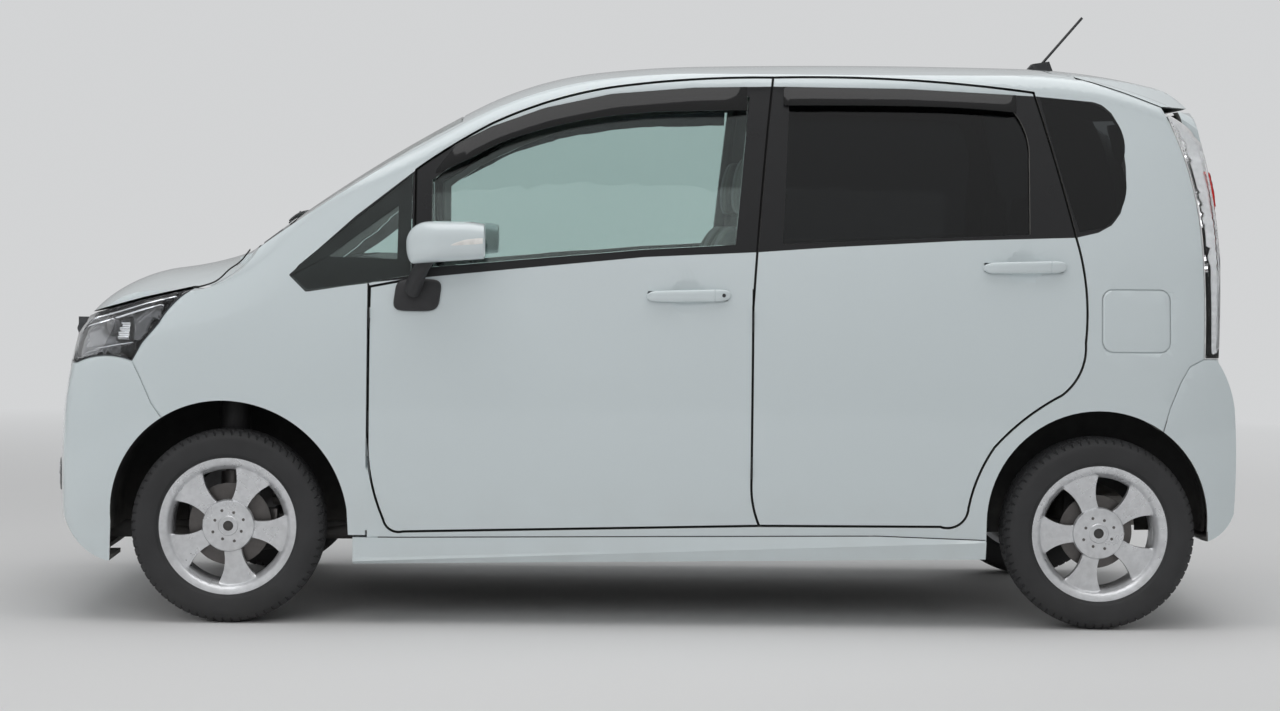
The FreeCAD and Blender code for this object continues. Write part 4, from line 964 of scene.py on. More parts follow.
@dataclass
class Wheel:
    """One road wheel: tyre, rim copy, and the cover, cap and marks over its nuts."""

    place: str
    side: Side
    x: float
    half_track: float
    half_width: float = 0.0775
    bead: float = 0.180
    grooves: tuple[float, ...] = (-0.040, -0.014, 0.014, 0.040)
    groove_width: float = 0.0075
    groove_depth: float = 0.0065
    blocks: int = 68
    hub_face: float = 0.0415
    brake_radius: float = 0.1175
    cover: tuple[Spot, ...] = ((0.0225, 0.0040), (0.0232, 0.0098), (0.0262, 0.0098), (0.0285, 0.0076),
                               (0.050, 0.0074), (0.064, 0.0078), (0.071, 0.0060), (0.0738, 0.0010),
                               (0.0738, -0.004))
    cap: tuple[Spot, ...] = ((1e-5, 0.0078), (0.006, 0.0074), (0.010, 0.0052), (0.0135, 0.0050),
                             (0.0150, 0.0072), (0.0185, 0.0074), (0.0205, 0.0052), (0.0224, 0.0050),
                             (0.0224, -0.002))
    mark: tuple[Spot, ...] = ((1e-5, 0.0081), (0.0030, 0.0081), (0.0042, 0.0077), (0.0044, 0.0061))

    @property
    def y(self) -> float:
        """The wheel's middle plane."""
        return self.side.value * self.half_track

    def tyre(self) -> Surface:
        """The tyre's outer skin.

        Formula in words: the profile runs from bead to bead over a bulged sidewall and a nearly
        flat tread, and is turned about the axle. The radius drops in rings where the grooves
        are, and in short slots across the shoulders and the middle, where a wave of the angle
        is high.
        """
        edge = -self.half_width
        wall = smooth_path([(self.bead, -0.053, 0.0), (0.186, -0.060, 0.0), (0.197, -0.066, 0.0),
                            (0.203, -0.0725, 0.0), (0.222, edge + 0.0008, 0.0), (0.243, edge + 0.001, 0.0),
                            (0.256, edge + 0.0065, 0.0), (0.2655, edge + 0.0155, 0.0),
                            (0.2695, edge + 0.0225, 0.0)], 5)[:, :2]
        tread = self.half_width - 0.023
        flat = np.linspace(-tread, tread, 61)
        crown = TYRE_RADIUS - 0.0022 * (flat / tread) ** 2 - 0.0002
        rings = np.max([1.0 / (1.0 + np.exp((np.abs(flat - groove) - self.groove_width / 2) / 0.0004))
                        for groove in self.grooves], axis=0)
        profile = np.concatenate([wall, np.stack([crown, flat], -1)[1:-1], (wall * (1.0, -1.0))[::-1]])
        cut = np.pad(rings[1:-1], len(wall))
        radius, level = profile.T
        turn = around(self.blocks * 8)[:, None]
        wave = (turn * self.blocks / (2.0 * math.pi) + 9.0 * np.abs(level)) % 1.0
        shoulder = (wave < 0.2) & (np.abs(level) > 0.044) & (radius > 0.257)
        middle = (np.abs(level) < 0.036) & ((wave + 0.5) % 1.0 < 0.14) & (cut < 0.3)
        radius = radius - self.groove_depth * cut - 0.0045 * shoulder - 0.003 * middle
        skin = points_of(self.x + radius * np.cos(turn), self.y + level, AXLE_Z + radius * np.sin(turn))
        return lattice(skin, wrap_rows=True)

    def on_hub(self, profile: tuple[Spot, ...], steps: int, at: Spot = (0.0, 0.0)) -> Surface:
        """Rows of (radius, height over the hub's face) turned about a line along the axle."""
        out = self.side.value
        centre = (self.x + at[0], self.y + out * self.hub_face, AXLE_Z + at[1])
        return spun(np.array(profile) * (1.0, out), centre, steps=steps)

    def build(self, shop: Shop) -> None:
        """Builds the wheel's pieces; the middle of the rim's copy is the brake behind the spokes."""
        end = f"{self.place}_{self.side.word}"
        body = f"wheel_{end}"
        shop.surface(f"tyre_tread_{end}", [self.tyre()], "tyre rubber", body, 40.0, (f"tyre_{end}",))
        rim = shop.copy_of(body, "silver wheel", 30.0)

        def is_brake(middle: Array) -> Array:
            """Whether a face belongs to the brake."""
            x, y, z = (middle - (self.x, self.y, AXLE_Z)).T
            return (np.hypot(x, z) < self.brake_radius) & (y * self.side.value < -0.0045)

        shop.second_finish(rim, "brake iron", is_brake)
        angles = np.radians(22.5 + 45.0 * np.arange(8))
        marks = [self.on_hub(self.mark, 16, (reach * math.cos(angle), reach * math.sin(angle)))
                 for angle, reach in zip(angles, (0.046, 0.040) * 4)]
        for name, parts, finish in (("cover", [self.on_hub(self.cover, 72)], "silver wheel"),
                                    ("cap", [self.on_hub(self.cap, 48)], "grained black"),
                                    ("marks", marks, "brake iron")):
            shop.surface(f"wheel_{name}_{end}", parts, finish, body)


def outer_faces(work: bmesh.types.BMesh, sideways: float = 0.04) -> set[int]:
    """Finds the faces of both lamps that lie on the car's outer skin.

    Args:
        work: the lamps' merged mesh.
        sideways: how far a face has to turn away from the middle of the car to count.

    Returns:
        The numbers of the faces in the largest joined patch of each side.
    """
    work.faces.ensure_lookup_table()
    outer: set[int] = set()
    for side in Side:
        left = {face.index for face in work.faces
                if side.value * face.normal.y > sideways and side.value * face.calc_center_median().y > 0}
        patches: list[set[int]] = []
        while left:
            patch, edge = set(), {left.pop()}
            while edge:
                patch |= edge
                edge = {f.index for i in edge for e in work.faces[i].edges for f in e.link_faces} & left
                left -= edge
            patches.append(patch)
        outer |= max(patches, key=lambda patch: sum(work.faces[i].calc_area() for i in patch))
    return outer


def split_lamp(shop: Shop, node: str, name: str, case_finish: str) -> None:
    """Splits the lamps' CAD node into a clear lens, its outer skin, and a case, each with a wall.

    Args:
        shop: puts the pieces into the scene.
        node: the CAD node of the lamps of both sides.
        name: the start of the pieces' names.
        case_finish: the name of the case's finish.
    """
    work = shop.merged(node)
    outer = outer_faces(work)
    for part, finish, wall_thickness, hides in (("lens", "clear lens", 0.0022, ()),
                                                ("case", case_finish, 0.0015, (node,))):
        copy = work.copy()
        drop = [face for face in copy.faces if (face.index in outer) != (part == "lens")]
        bmesh.ops.delete(copy, geom=drop, context="FACES")
        mesh = bpy.data.meshes.new(f"{name}_{part}")
        copy.to_mesh(mesh)
        copy.free()
        piece = shop.add(f"{name}_{part}", mesh, finish, angle=30.0, hides=hides)
        wall = piece.modifiers.new("wall", "SOLIDIFY")
        wall.thickness = wall_thickness
        wall.offset = -1.0
        wall.use_even_offset = True
        wall.use_quality_normals = True
    work.free()


@dataclass
class HeadLamp:
    """A smoked head lamp: lens, bezel, projector, flat reflector and plated blades."""

    centre: Spot = (-1.40, -0.37)
    ends: Spot = (184.0, 288.0)
    middle: float = 0.80
    top: tuple[Spot, ...] = ((-1.76, 0.836), (-1.612, 0.851), (-1.419, 0.905), (-1.284, 0.936))
    bottom: tuple[Spot, ...] = ((-1.76, 0.724), (-1.612, 0.724), (-1.572, 0.739), (-1.53, 0.746),
                                (-1.49, 0.743), (-1.449, 0.733), (-1.422, 0.783), (-1.376, 0.838),
                                (-1.338, 0.892), (-1.284, 0.935))
    bezel_depth: float = 0.030
    projector: Spot = (-1.526, 0.830)

    def behind(self, x: Array, z: Array, depth: Array | float) -> Array:
        """Points behind the lens at these places of the side view."""
        table = self.table[np.argsort(self.table[:, 0])]
        return self.skin.about(self.centre, np.interp(x, table[:, 0], table[:, 1]), z, depth)

    def sheet(self, u: Array, v: Array, depth: Array | float, margin: float = 0.003) -> Array:
        """Points of the lamp by u along it from its front end and v from its lower to its upper edge.

        Formula in words: u picks the ray angle in equal steps, the x that the ray meets gives
        the lamp's lower and upper edge there, and v goes from one to the other.

        Args:
            u: shares of the lamp's length.
            v: shares of its height there.
            depth: how far behind the lens.
            margin: how far inside both edges.

        Returns:
            Points, with one more axis than u.
        """
        turn = np.radians(self.ends[0] + (self.ends[1] - self.ends[0]) * u)
        x = np.interp(turn, self.table[:, 1], self.table[:, 0])
        low, high = line_at(self.bottom, x) + margin, line_at(self.top, x) - margin
        high = np.maximum(high, low + 0.001)
        return self.skin.about(self.centre, turn, low + (high - low) * v, depth)

    def blade(self, x: Array, z: Array, depth: float, height: Array) -> Surface:
        """A plated blade behind the lens, closed at its front end.

        Formula in words: across the blade the height changes as the cosine of an angle and the
        depth as its sine, so the blade is a flat round bar along the line through x and z.

        Args:
            x: places along the car.
            z: the blade's middle height there.
            depth: how far behind the lens its middle lies.
            height: how high it is there.

        Returns:
            The vertices and the quads.
        """
        turn = around(12)
        height = height[:, None]
        level = z[:, None] + 0.5 * height * np.cos(turn)
        back = depth + 0.004 * np.sin(turn) * np.clip(height / 0.006, 0.1, 1.0)
        rings = self.behind(np.broadcast_to(x[:, None], level.shape), level, back)
        tip = rings[:1].mean(1, keepdims=True).repeat(len(turn), 1)
        return lattice(np.concatenate([tip, rings]), wrap_columns=True)

    def blades(self) -> list[Surface]:
        """Two long plated blades under the top edge and a thin one low down."""
        parts = []
        for x0, x1, drop0, drop1 in ((-1.648, -1.296, 0.013, 0.0105), (-1.600, -1.352, 0.0300, 0.0255)):
            share = np.linspace(0.0, 1.0, 60)
            x = x0 + (x1 - x0) * share
            z = line_at(self.top, x) - (drop0 + (drop1 - drop0) * share)
            height = 0.0085 * np.sin(math.pi * np.clip(share, 0.02, 0.98)) ** 0.35
            parts.append(self.blade(x, z, 0.012, height))
        share = np.linspace(0.0, 1.0, 30)
        height = 0.0045 * np.sin(math.pi * np.clip(share, 0.03, 0.97)) ** 0.5
        parts.append(self.blade(-1.560 + 0.110 * share, 0.764 + 0.022 * share, 0.014, height))
        return parts

    def bezel(self) -> list[Surface]:
        """The dark inner face with ridges, and hollows for the light units.

        Formula in words: a grid over the lamp, a constant depth behind the lens, plus smooth
        wells around the projector and the flat reflector, minus long low ridges.
        """
        u, v = np.meshgrid(np.linspace(0.0, 1.0, 110), np.linspace(0.0, 1.0, 34), indexing="ij")
        x, _, z = np.moveaxis(self.sheet(u, v, 0.0), -1, 0)
        at_x, at_z = self.projector
        well = np.exp(-(((x - at_x) / 0.026) ** 2 + ((z - at_z) / 0.026) ** 2) ** 2)
        slot = np.exp(-((x + 1.483) / 0.024) ** 6 - ((z - 0.816) / 0.034) ** 6)
        ridge = 0.004 * np.clip(np.sin(v * 3.5 * math.pi) ** 3, 0.0, 1.0) * (1.0 - slot) * (1.0 - well)
        edge = np.minimum(np.minimum(v, 1.0 - v) * 8.0, np.minimum(u, 1.0 - u) * 30.0)
        depth = self.bezel_depth * np.clip(0.35 + edge, 0.35, 1.0) + 0.020 * np.maximum(well, slot) - ridge
        front = self.sheet(u, v, depth)
        return closed_sheet(front, 0.0016, unit(((-1.40, -0.30, 0.0) - front) * (1.0, 1.0, 0.0)))

    def reflector(self) -> list[Surface]:
        """The flat bright unit behind the projector, with level flutes.

        Formula in words: a grid over a small upright oblong, whose depth is a wave of the height.
        """
        x, z = np.meshgrid(np.linspace(-1.500, -1.466, 9), np.linspace(0.792, 0.843, 49), indexing="ij")
        depth = 0.022 + 0.0022 * np.cos((z - 0.792) * 2.0 * math.pi / 0.0128)
        return closed_sheet(self.behind(x, z, depth), 0.004, (0.2, 0.98, 0.0))

    def build(self, shop: Shop) -> None:
        """Tabulates the x that each ray angle meets at the middle height, and builds both lamps."""
        split_lamp(shop, "headlamps", "headlamp", "smoked bezel")
        self.skin = BodySkin(shop, "headlamps")
        turn = np.radians(np.linspace(*self.ends, 121))
        reached = self.skin.about(self.centre, turn, np.full(121, self.middle), 0.0)
        self.table = np.stack([reached[:, 0], turn], -1)
        spot = tuple(self.behind(*np.array([self.projector]).T, 0.022)[0])
        angle = np.linspace(0.0, 0.5 * math.pi, 14)
        dome = np.stack([0.021 * np.sin(angle) + 1e-5, 0.012 * np.cos(angle)], -1)
        dome = np.concatenate([dome, [(0.021, -0.006), (1e-5, -0.006)]])
        ring = np.array([(0.0212, -0.010), (0.0212, 0.0015), (0.0235, 0.0030), (0.0262, 0.0015),
                         (0.0275, -0.004), (0.0275, -0.010), (0.0212, -0.010)])
        for name, parts, finish in (("bezel", self.bezel(), "smoked bezel"),
                                    ("blades", self.blades(), "plated chrome"),
                                    ("reflector", self.reflector(), "lamp reflector"),
                                    ("ring", [spun(ring, spot, (-0.80, -0.60, 0.0), 40)], "smoked bezel"),
                                    ("dome", [spun(dome, spot, (-0.80, -0.60, 0.0), 40)], "dark dome")):
            shop.pair(f"headlamp_{name}", parts, finish)


class TailLamp:
    """A tall tail lamp: clear outer lens over a pale ribbed reflector and a red inner lens."""

    centre = (1.40, -0.40)
    rear_edge = 322.0
    pitch = 0.022

    def sheet(self, skin: BodySkin, start: float, low: float, high: float, depth: float,
              wave: float) -> Array:
        """A grid behind the lens, from the angle start to the lamp's rear edge.

        Formula in words: level rays towards the upright line through the centre pick points of
        the outer skin; each goes inward by the depth plus a wave of the height.

        Args:
            skin: the lamps' surface.
            start: the first angle, in degrees.
            low: the lower end.
            high: the upper end.
            depth: how far behind the lens.
            wave: half the depth of the ribs.

        Returns:
            An array of rows by columns by 3.
        """
        z, turn = np.meshgrid(np.linspace(low, high, 90),
                              np.radians(np.linspace(start, self.rear_edge, 16)), indexing="ij")
        return skin.about(self.centre, turn, z, depth + wave * np.cos(z * 2.0 * math.pi / self.pitch))

    def build(self, shop: Shop) -> None:
        """Builds both lamps."""
        split_lamp(shop, "tail_lamps", "tail_lamp", "pale reflector")
        skin = BodySkin(shop, "tail_lamps")
        inward = (-0.6, 0.8, 0.0)
        ribs = closed_sheet(self.sheet(skin, 300.0, 0.79, 1.38, 0.012, 0.0012), 0.002, inward)
        red = closed_sheet(self.sheet(skin, 314.5, 1.02, 1.30, 0.007, 0.0006), 0.003, inward)
        shop.pair("tail_lamp_ribs", ribs, "pale reflector")
        shop.pair("tail_lamp_red", red, "red lens")


@dataclass
class Visor:
    """A smoked rain visor over a door's window, between its lower and upper line."""

    door: str
    lower: tuple[Spot, ...]
    upper: tuple[Spot, ...]
    stand: float = 0.013
    lean: float = 0.238

    def build(self, shop: Shop) -> None:
        """Builds the visor of both sides' doors.

        Formula in words: u runs along the door between the ends of the lower line and v from the
        upper to the lower line. Level rays find the door at the upper line, and the visor goes
        down from there at the door's lean, standing off it by a little at the top and by a sine
        of v to the full stand at the lower edge; the ends come back to the door over their last
        few centimetres.
        """
        low = smooth_path([(x, 0.0, z) for x, z in self.lower], 14)
        u, v = np.linspace(0.0, 1.0, 70)[:, None], np.linspace(0.0, 1.0, 12)[None]
        x = np.interp(u, np.linspace(0.0, 1.0, len(low)), low[:, 0])
        z_high = line_at(self.upper, x)
        z = z_high + (np.interp(x, low[:, 0], low[:, 2]) - z_high) * v
        door = BodySkin(shop, f"door_{self.door}_left").beside(x, z_high)[..., 1] - self.lean * (z_high - z)
        ends = np.clip(np.minimum(u, 1.0 - u) / 0.05, 0.0, 1.0) ** 0.5
        lift = 0.0035 + self.stand * np.sin(0.5 * math.pi * v) * (0.25 + 0.75 * ends)
        parts = closed_sheet(points_of(x, door - lift, z), 0.0028)
        for side in Side:
            shop.on_side(side, f"visor_{self.door}", parts, "smoked visor", f"door_{self.door}")


@dataclass
class DoorMirror:
    """A door mirror: housing with an open rear, glass, turn lamp, dark foot and neck."""

    front: float = -0.681
    rear: float = -0.466
    middle_y: float = -0.824
    half_y: float = 0.0785
    lip: float = 0.0045
    power: float = 0.62

    def outline(self, x: Array) -> tuple[Array, Array]:
        """The lower and upper height of the housing in side view over x."""
        share = np.clip((x - self.front) / (self.rear - self.front), 0.0, 1.0)
        top = 1.074 + 0.059 * np.clip(1.0 - (1.0 - np.clip(share / 0.34, 0, 1)) ** 2.4, 0, 1) ** 0.55
        low = (1.066 - 0.053 * np.clip(1.0 - (1.0 - np.clip(share / 0.10, 0, 1)) ** 2, 0, 1) ** 0.5
               + 0.017 * share)
        return low, top - 0.006 * np.clip((share - 0.75) / 0.25, 0, 1) ** 2

    def half_width(self, share: Array) -> Array:
        """Half the housing's width at each share of its length, as a power of a sine."""
        return self.half_y * np.sin(0.5 * math.pi * np.clip(share * 2.1, 0.0, 1.0)) ** self.power

    def rings(self, shares: Array, shrink: Array) -> Array:
        """Rings of the housing.

        Formula in words: at each share from the front tip to the rear lip the section is a
        rounded oblong between the lower and upper line of the side view, and shrink draws a
        ring in by that distance.

        Args:
            shares: shares of the housing's length.
            shrink: how far each ring is drawn in.

        Returns:
            An array of rings by points by 3.
        """
        x = (self.front + (self.rear - self.front) * shares)[:, None]
        low, top = self.outline(x)
        half_z = np.maximum(0.5 * (top - low) - shrink[:, None], 1e-4)
        half_y = np.maximum((self.half_width(shares) - shrink)[:, None], 1e-4)
        across, up = rounded(around(72)[None], self.power)
        return points_of(x, self.middle_y + half_y * across, 0.5 * (low + top) + half_z * up)

    def housing(self) -> list[Surface]:
        """The painted shell, over its rear lip and into the recess that holds the glass."""
        shell = 1.0 - np.cos(np.linspace(0.02, 0.5 * math.pi, 40))
        shares = np.concatenate([shell, [1.003, 1.0, 0.955, 0.950]])
        shrink = np.concatenate([np.zeros(40), [0.0018, self.lip, self.lip + 0.001, 0.079]])
        return [capped(self.rings(shares, shrink))]

    def glass(self) -> list[Surface]:
        """A slightly domed pane just inside the rear lip.

        Formula in words: rings shrink from the lip's inside to the middle, and x bulges to the
        rear as one minus the square of the ring's size.
        """
        scale = np.linspace(1.0, 0.02, 14)[:, None, None]
        rim = self.rings(np.array([0.975]), np.array([self.lip + 0.0025]))[0]
        middle = rim.mean(0)
        face = middle + (rim - middle) * scale + 0.002 * (1.0 - scale ** 2) * (1.0, 0.0, 0.0)
        back = face[::-1] - (0.0035, 0.0, 0.0)
        return [lattice(np.concatenate([face, back]), wrap_rows=True, wrap_columns=True)]

    def turn_lamp(self) -> list[Surface]:
        """The turn lamp's lens, a blade on the outer rear half of the housing.

        Formula in words: a grid along the housing's middle height, wider to the rear, on the
        side that the housing's section has there, with a low round swell across it.
        """
        share, v = np.linspace(0.0, 1.0, 30)[:, None], np.linspace(-1.0, 1.0, 9)[None]
        x = -0.566 + 0.098 * share
        z = 1.063 + 0.019 * share + 0.0100 * np.clip(share * 2.2, 0.03, 1.0) ** 0.6 * v
        low, top = self.outline(x)
        wide = self.half_width((x - self.front) / (self.rear - self.front))
        rise = np.clip(np.abs(z - 0.5 * (low + top)) / (0.5 * (top - low)), 0.0, 1.0)
        y = self.middle_y - wide * (1.0 - rise ** (1.0 / self.power)) ** 0.31
        lift = 0.0014 * np.sqrt(np.clip(1.0 - v ** 2, 0.0, 1.0)) + 0.0004
        return closed_sheet(points_of(x, y - lift, z), 0.0035)

    @staticmethod
    def foot(skin: BodySkin) -> list[Surface]:
        """The dark pad on the door and the neck that carries the housing.

        Formula in words: rings of a rounded oblong lie on the door, the outer one in its skin
        and the inner ones 16 mm proud; the neck is a flattened tube along a smooth line.
        """
        size = np.array([1.0, 1.0, 0.97, 0.90, 0.55, 0.05])[:, None]
        across, up = rounded(around(72)[None], 0.45)
        pad = skin.beside(-0.655 + size * (0.064 * across + 0.006 * up), 0.926 + 0.045 * size * up)
        pad[..., 1] -= np.array([-0.003, 0.006, 0.011, 0.014, 0.016, 0.016])[:, None]
        neck = smooth_path([(-0.668, -0.722, 0.940), (-0.655, -0.748, 0.975), (-0.635, -0.778, 1.012),
                            (-0.612, -0.800, 1.040)], 8)
        return [lattice(pad, wrap_columns=True), tube(neck, np.linspace(0.040, 0.027, len(neck)), 24, 0.62)]

    def build(self, shop: Shop) -> None:
        """Builds the pieces of both mirrors."""
        foot = self.foot(BodySkin(shop, "door_front_left", "side_frame_left"))
        pieces = (("mirror_housing", self.housing(), "pearl paint plain"),
                  ("mirror_glass", self.glass(), "mirror silver"),
                  ("turn_lens", self.turn_lamp(), "turn lens"), ("mirror_foot", foot, "grained black"))
        for side in Side:
            for name, parts, finish in pieces:
                shop.on_side(side, name, parts, finish, "mirror", hides=name == "mirror_housing")


@dataclass
class Wiper:
    """A wiper: a tapered arm from its spindle and a blade that lies along the glass."""

    name: str
    body: str
    glass: str
    spindle: Point
    knee: Point
    blade: tuple[Point, Point]
    towards: Point

    def build(self, shop: Shop) -> None:
        """Lays the arm and the blade on the glass by rays and gives them their sections."""
        skin = BodySkin(shop, self.glass)
        start, end = (np.array(p) for p in self.blade)
        share = np.linspace(0.0, 1.0, 26)[:, None]
        line = start + (end - start) * share
        strip = skin.laid(line, self.towards, 0.0105)
        height = 0.0055 * (0.35 + 0.65 * np.sin(math.pi * np.clip(share[:, 0], 0.02, 0.98)))
        arm = smooth_path([self.spindle, self.knee, tuple(strip[12] + (0.0, 0.0, 0.004))], 12)
        cap = np.array([(1e-5, 0.008), (0.008, 0.0075), (0.0125, 0.003), (0.0135, -0.012), (1e-5, -0.012)])
        shop.surface(self.name, [
            tube(skin.laid(line, self.towards, 0.0045), 0.0022, 8), tube(strip, height, 10, 0.55),
            tube(arm, np.linspace(0.0105, 0.0045, len(arm)), 12, 0.6),
            spun(cap, self.spindle, tuple(-np.array(self.towards)), 28)], "grained black", self.body)


@dataclass
class Plate:
    """A blank number plate with a pressed rim and two bolt heads."""

    name: str
    body: str
    low: Point
    high: Point
    out: float
    half: float = 0.165
    corner: float = 0.012
    bolt_y: float = 0.105

    def build(self, shop: Shop) -> None:
        """Builds the plate between its lower and upper edge.

        Formula in words: a grid over the oblong whose relief rises as a smooth ridge a few
        millimetres inside the edge; the corners are rounded by pulling them in on a circle.
        """
        low, high = np.array(self.low), np.array(self.high)
        half_up = 0.5 * float(np.linalg.norm(high - low))
        u, v = np.meshgrid(np.linspace(-1, 1, 61), np.linspace(0, 1, 31), indexing="ij")
        across, up = u * self.half, 2.0 * half_up * v - half_up
        flat_x, flat_z = self.half - self.corner, half_up - self.corner
        pull_x = np.clip(np.abs(across) - flat_x, 0.0, None)
        pull_z = np.clip(np.abs(up) - flat_z, 0.0, None)
        far = np.maximum(np.hypot(pull_x, pull_z), 1e-9)
        scale = np.minimum(1.0, self.corner / far)
        across = np.where(far > self.corner, np.sign(across) * (flat_x + pull_x * scale), across)
        up = np.where(far > self.corner, np.sign(up) * (flat_z + pull_z * scale), up)
        edge = np.minimum(self.half - np.abs(across), half_up - np.abs(up))
        ridge = 0.0012 * np.exp(-((edge - 0.007) / 0.0022) ** 2)
        face = low + (high - low) * ((up + half_up) / (2.0 * half_up))[..., None]
        face += points_of(self.out * ridge, across, 0.0)
        shop.surface(self.name, closed_sheet(face, 0.0012, (-self.out, 0.0, 0.0)), "blank plate", self.body)
        bolt = np.array([(1e-5, 0.0032), (0.0045, 0.0030), (0.0068, 0.0016), (0.0074, 0.0),
                         (0.0060, -0.0035), (1e-5, -0.0035)])
        x, _, z = low + (high - low) * 0.52
        heads = [spun(bolt, (x + self.out * 0.0008, y, z), (self.out, 0.0, 0.0), 24)
                 for y in (-self.bolt_y, self.bolt_y)]
        shop.surface(self.name + "_bolts", heads, "plated chrome", self.body)


@dataclass
class Cushion:
    """A padded block of a seat: crowned faces, rounded edges and sewn channels.

    The block is laid out in its own frame: a runs across the seat, b along the panel and c out
    of its face. The frame's place and its b and c directions are given in the car's frame.
    """

    name: str
    middle: Point
    along: Point
    face: Point
    size: Point
    channels: tuple[float, ...] = ()
    bolster: float = 0.0
    crown: float = 0.020
    hides: tuple[str, ...] = ()

    def build(self, shop: Shop) -> None:
        """Formula in words: rings run from the middle of the back to the middle of the face of a
        block whose outline is a rounded oblong. The outline pulls in between the corners, the
        thickness swells as the product of two cosines, side bolsters rise towards both edges,
        and each channel is a narrow trough across the face at its place along b.
        """
        wide, tall, deep = self.size
        fall = np.linspace(0.0, math.pi, 46)[1:-1, None]
        ring, level = rounded(fall, 0.32)[1], -rounded(fall, 0.42)[0]
        across, up = rounded(around(144)[None], 0.30)
        pull = 1.0 - 0.018 * (1.0 - np.abs(across * up)) ** 2
        a, b = 0.5 * wide * ring * across * pull, 0.5 * tall * ring * up * pull
        a_share, b_share = 2.0 * a / wide, 2.0 * b / tall
        swell = (np.cos(0.5 * math.pi * np.clip(a_share, -1, 1))
                 * np.cos(0.5 * math.pi * np.clip(b_share, -1, 1)))
        top = np.clip(level, 0.0, 1.0)
        side = np.clip((np.abs(a_share) - 0.62) / 0.3, 0.0, 1.0)
        c = 0.5 * (deep - self.crown) * level + self.crown * swell * top
        c = c + (self.bolster * np.sin(0.5 * math.pi * side) * top
                 * np.clip(1.0 - np.abs(b_share) ** 6, 0, 1))
        for place in self.channels:
            trough = np.exp(-((b - place * tall) / 0.0042) ** 2) * np.clip(1.15 - side * 1.15, 0.0, 1.0)
            c = c - 0.0085 * trough * top
        c = c - 0.0050 * np.exp(-((np.abs(a_share) - 0.60) * wide / 0.016) ** 2) * top
        along, face = unit(np.array(self.along)), unit(np.array(self.face))
        out = (np.array(self.middle) + a[..., None] * np.cross(along, face) + b[..., None] * along
               + c[..., None] * face)
        piece = shop.surface(self.name, [capped(out)], "seat cloth", angle=60.0, hides=self.hides)


class Seats:
    """Two front seats and a rear bench, as padded pieces on dark bases."""

    upright = ((1.0, 0.0, 0.02), (0.0, 0.0, 1.0))

    def build(self, shop: Shop) -> None:
        """Builds every cushion, the rest stalks and the bases."""
        for word, y, hides in (("left", -0.315, ("seats",)), ("right", 0.315, ())):
            Cushion(f"seat_cushion_{word}", (-0.145, y, 0.508), *self.upright, (0.50, 0.53, 0.140),
                    (-0.16, 0.12), 0.022, hides=hides).build(shop)
            Cushion(f"seat_back_{word}", (0.188, y, 0.835), (0.245, 0.0, 0.97), (-0.97, 0.0, 0.245),
                    (0.47, 0.60, 0.110), (-0.10, 0.10, 0.27), 0.020).build(shop)
            Cushion(f"head_rest_{word}", (0.287, y, 1.245), (0.12, 0.0, 0.99), (-0.99, 0.0, 0.12),
                    (0.245, 0.165, 0.072), (), 0.0, 0.014).build(shop)
            posts = [tube(np.array([(0.268, y + off, 1.12), (0.276, y + off, 1.18)]), 0.006, 12)
                     for off in (-0.045, 0.045)]
            shop.surface(f"rest_posts_{word}", posts, "plated chrome")
            shop.surface(f"seat_base_{word}", [self.base(y)], "dash plastic")
        Cushion("bench_cushion", (0.785, 0.0, 0.508), *self.upright, (1.05, 0.37, 0.135),
                (-0.1, 0.2)).build(shop)
        Cushion("bench_back", (1.035, 0.0, 0.800), (0.235, 0.0, 0.972), (-0.972, 0.0, 0.235),
                (1.05, 0.54, 0.075), (-0.15, 0.15)).build(shop)
        for side in Side:
            Cushion(f"bench_rest_{side.word}", (1.108, side.value * 0.300, 1.165), (0.06, 0.0, 1.0),
                    (-1.0, 0.0, 0.06), (0.235, 0.120, 0.058), (), 0.0, 0.010).build(shop)

    @staticmethod
    def base(y: float) -> Surface:
        """A base with rounded upright edges that narrows a little upwards.

        Formula in words: a rounded oblong ring is stacked at several heights, each a few
        percent smaller than the one below, and closed at both ends.
        """
        rise = np.array([0.0, 0.03, 0.5, 0.97, 1.0])[:, None]
        size = np.array([0.985, 1.0, 0.97, 0.94, 0.92])[:, None]
        across, over = rounded(around(72)[None], 0.25)
        return capped(points_of(-0.120 + 0.205 * size * across, y + 0.19 * size * over,
                                0.257 + 0.179 * rise))


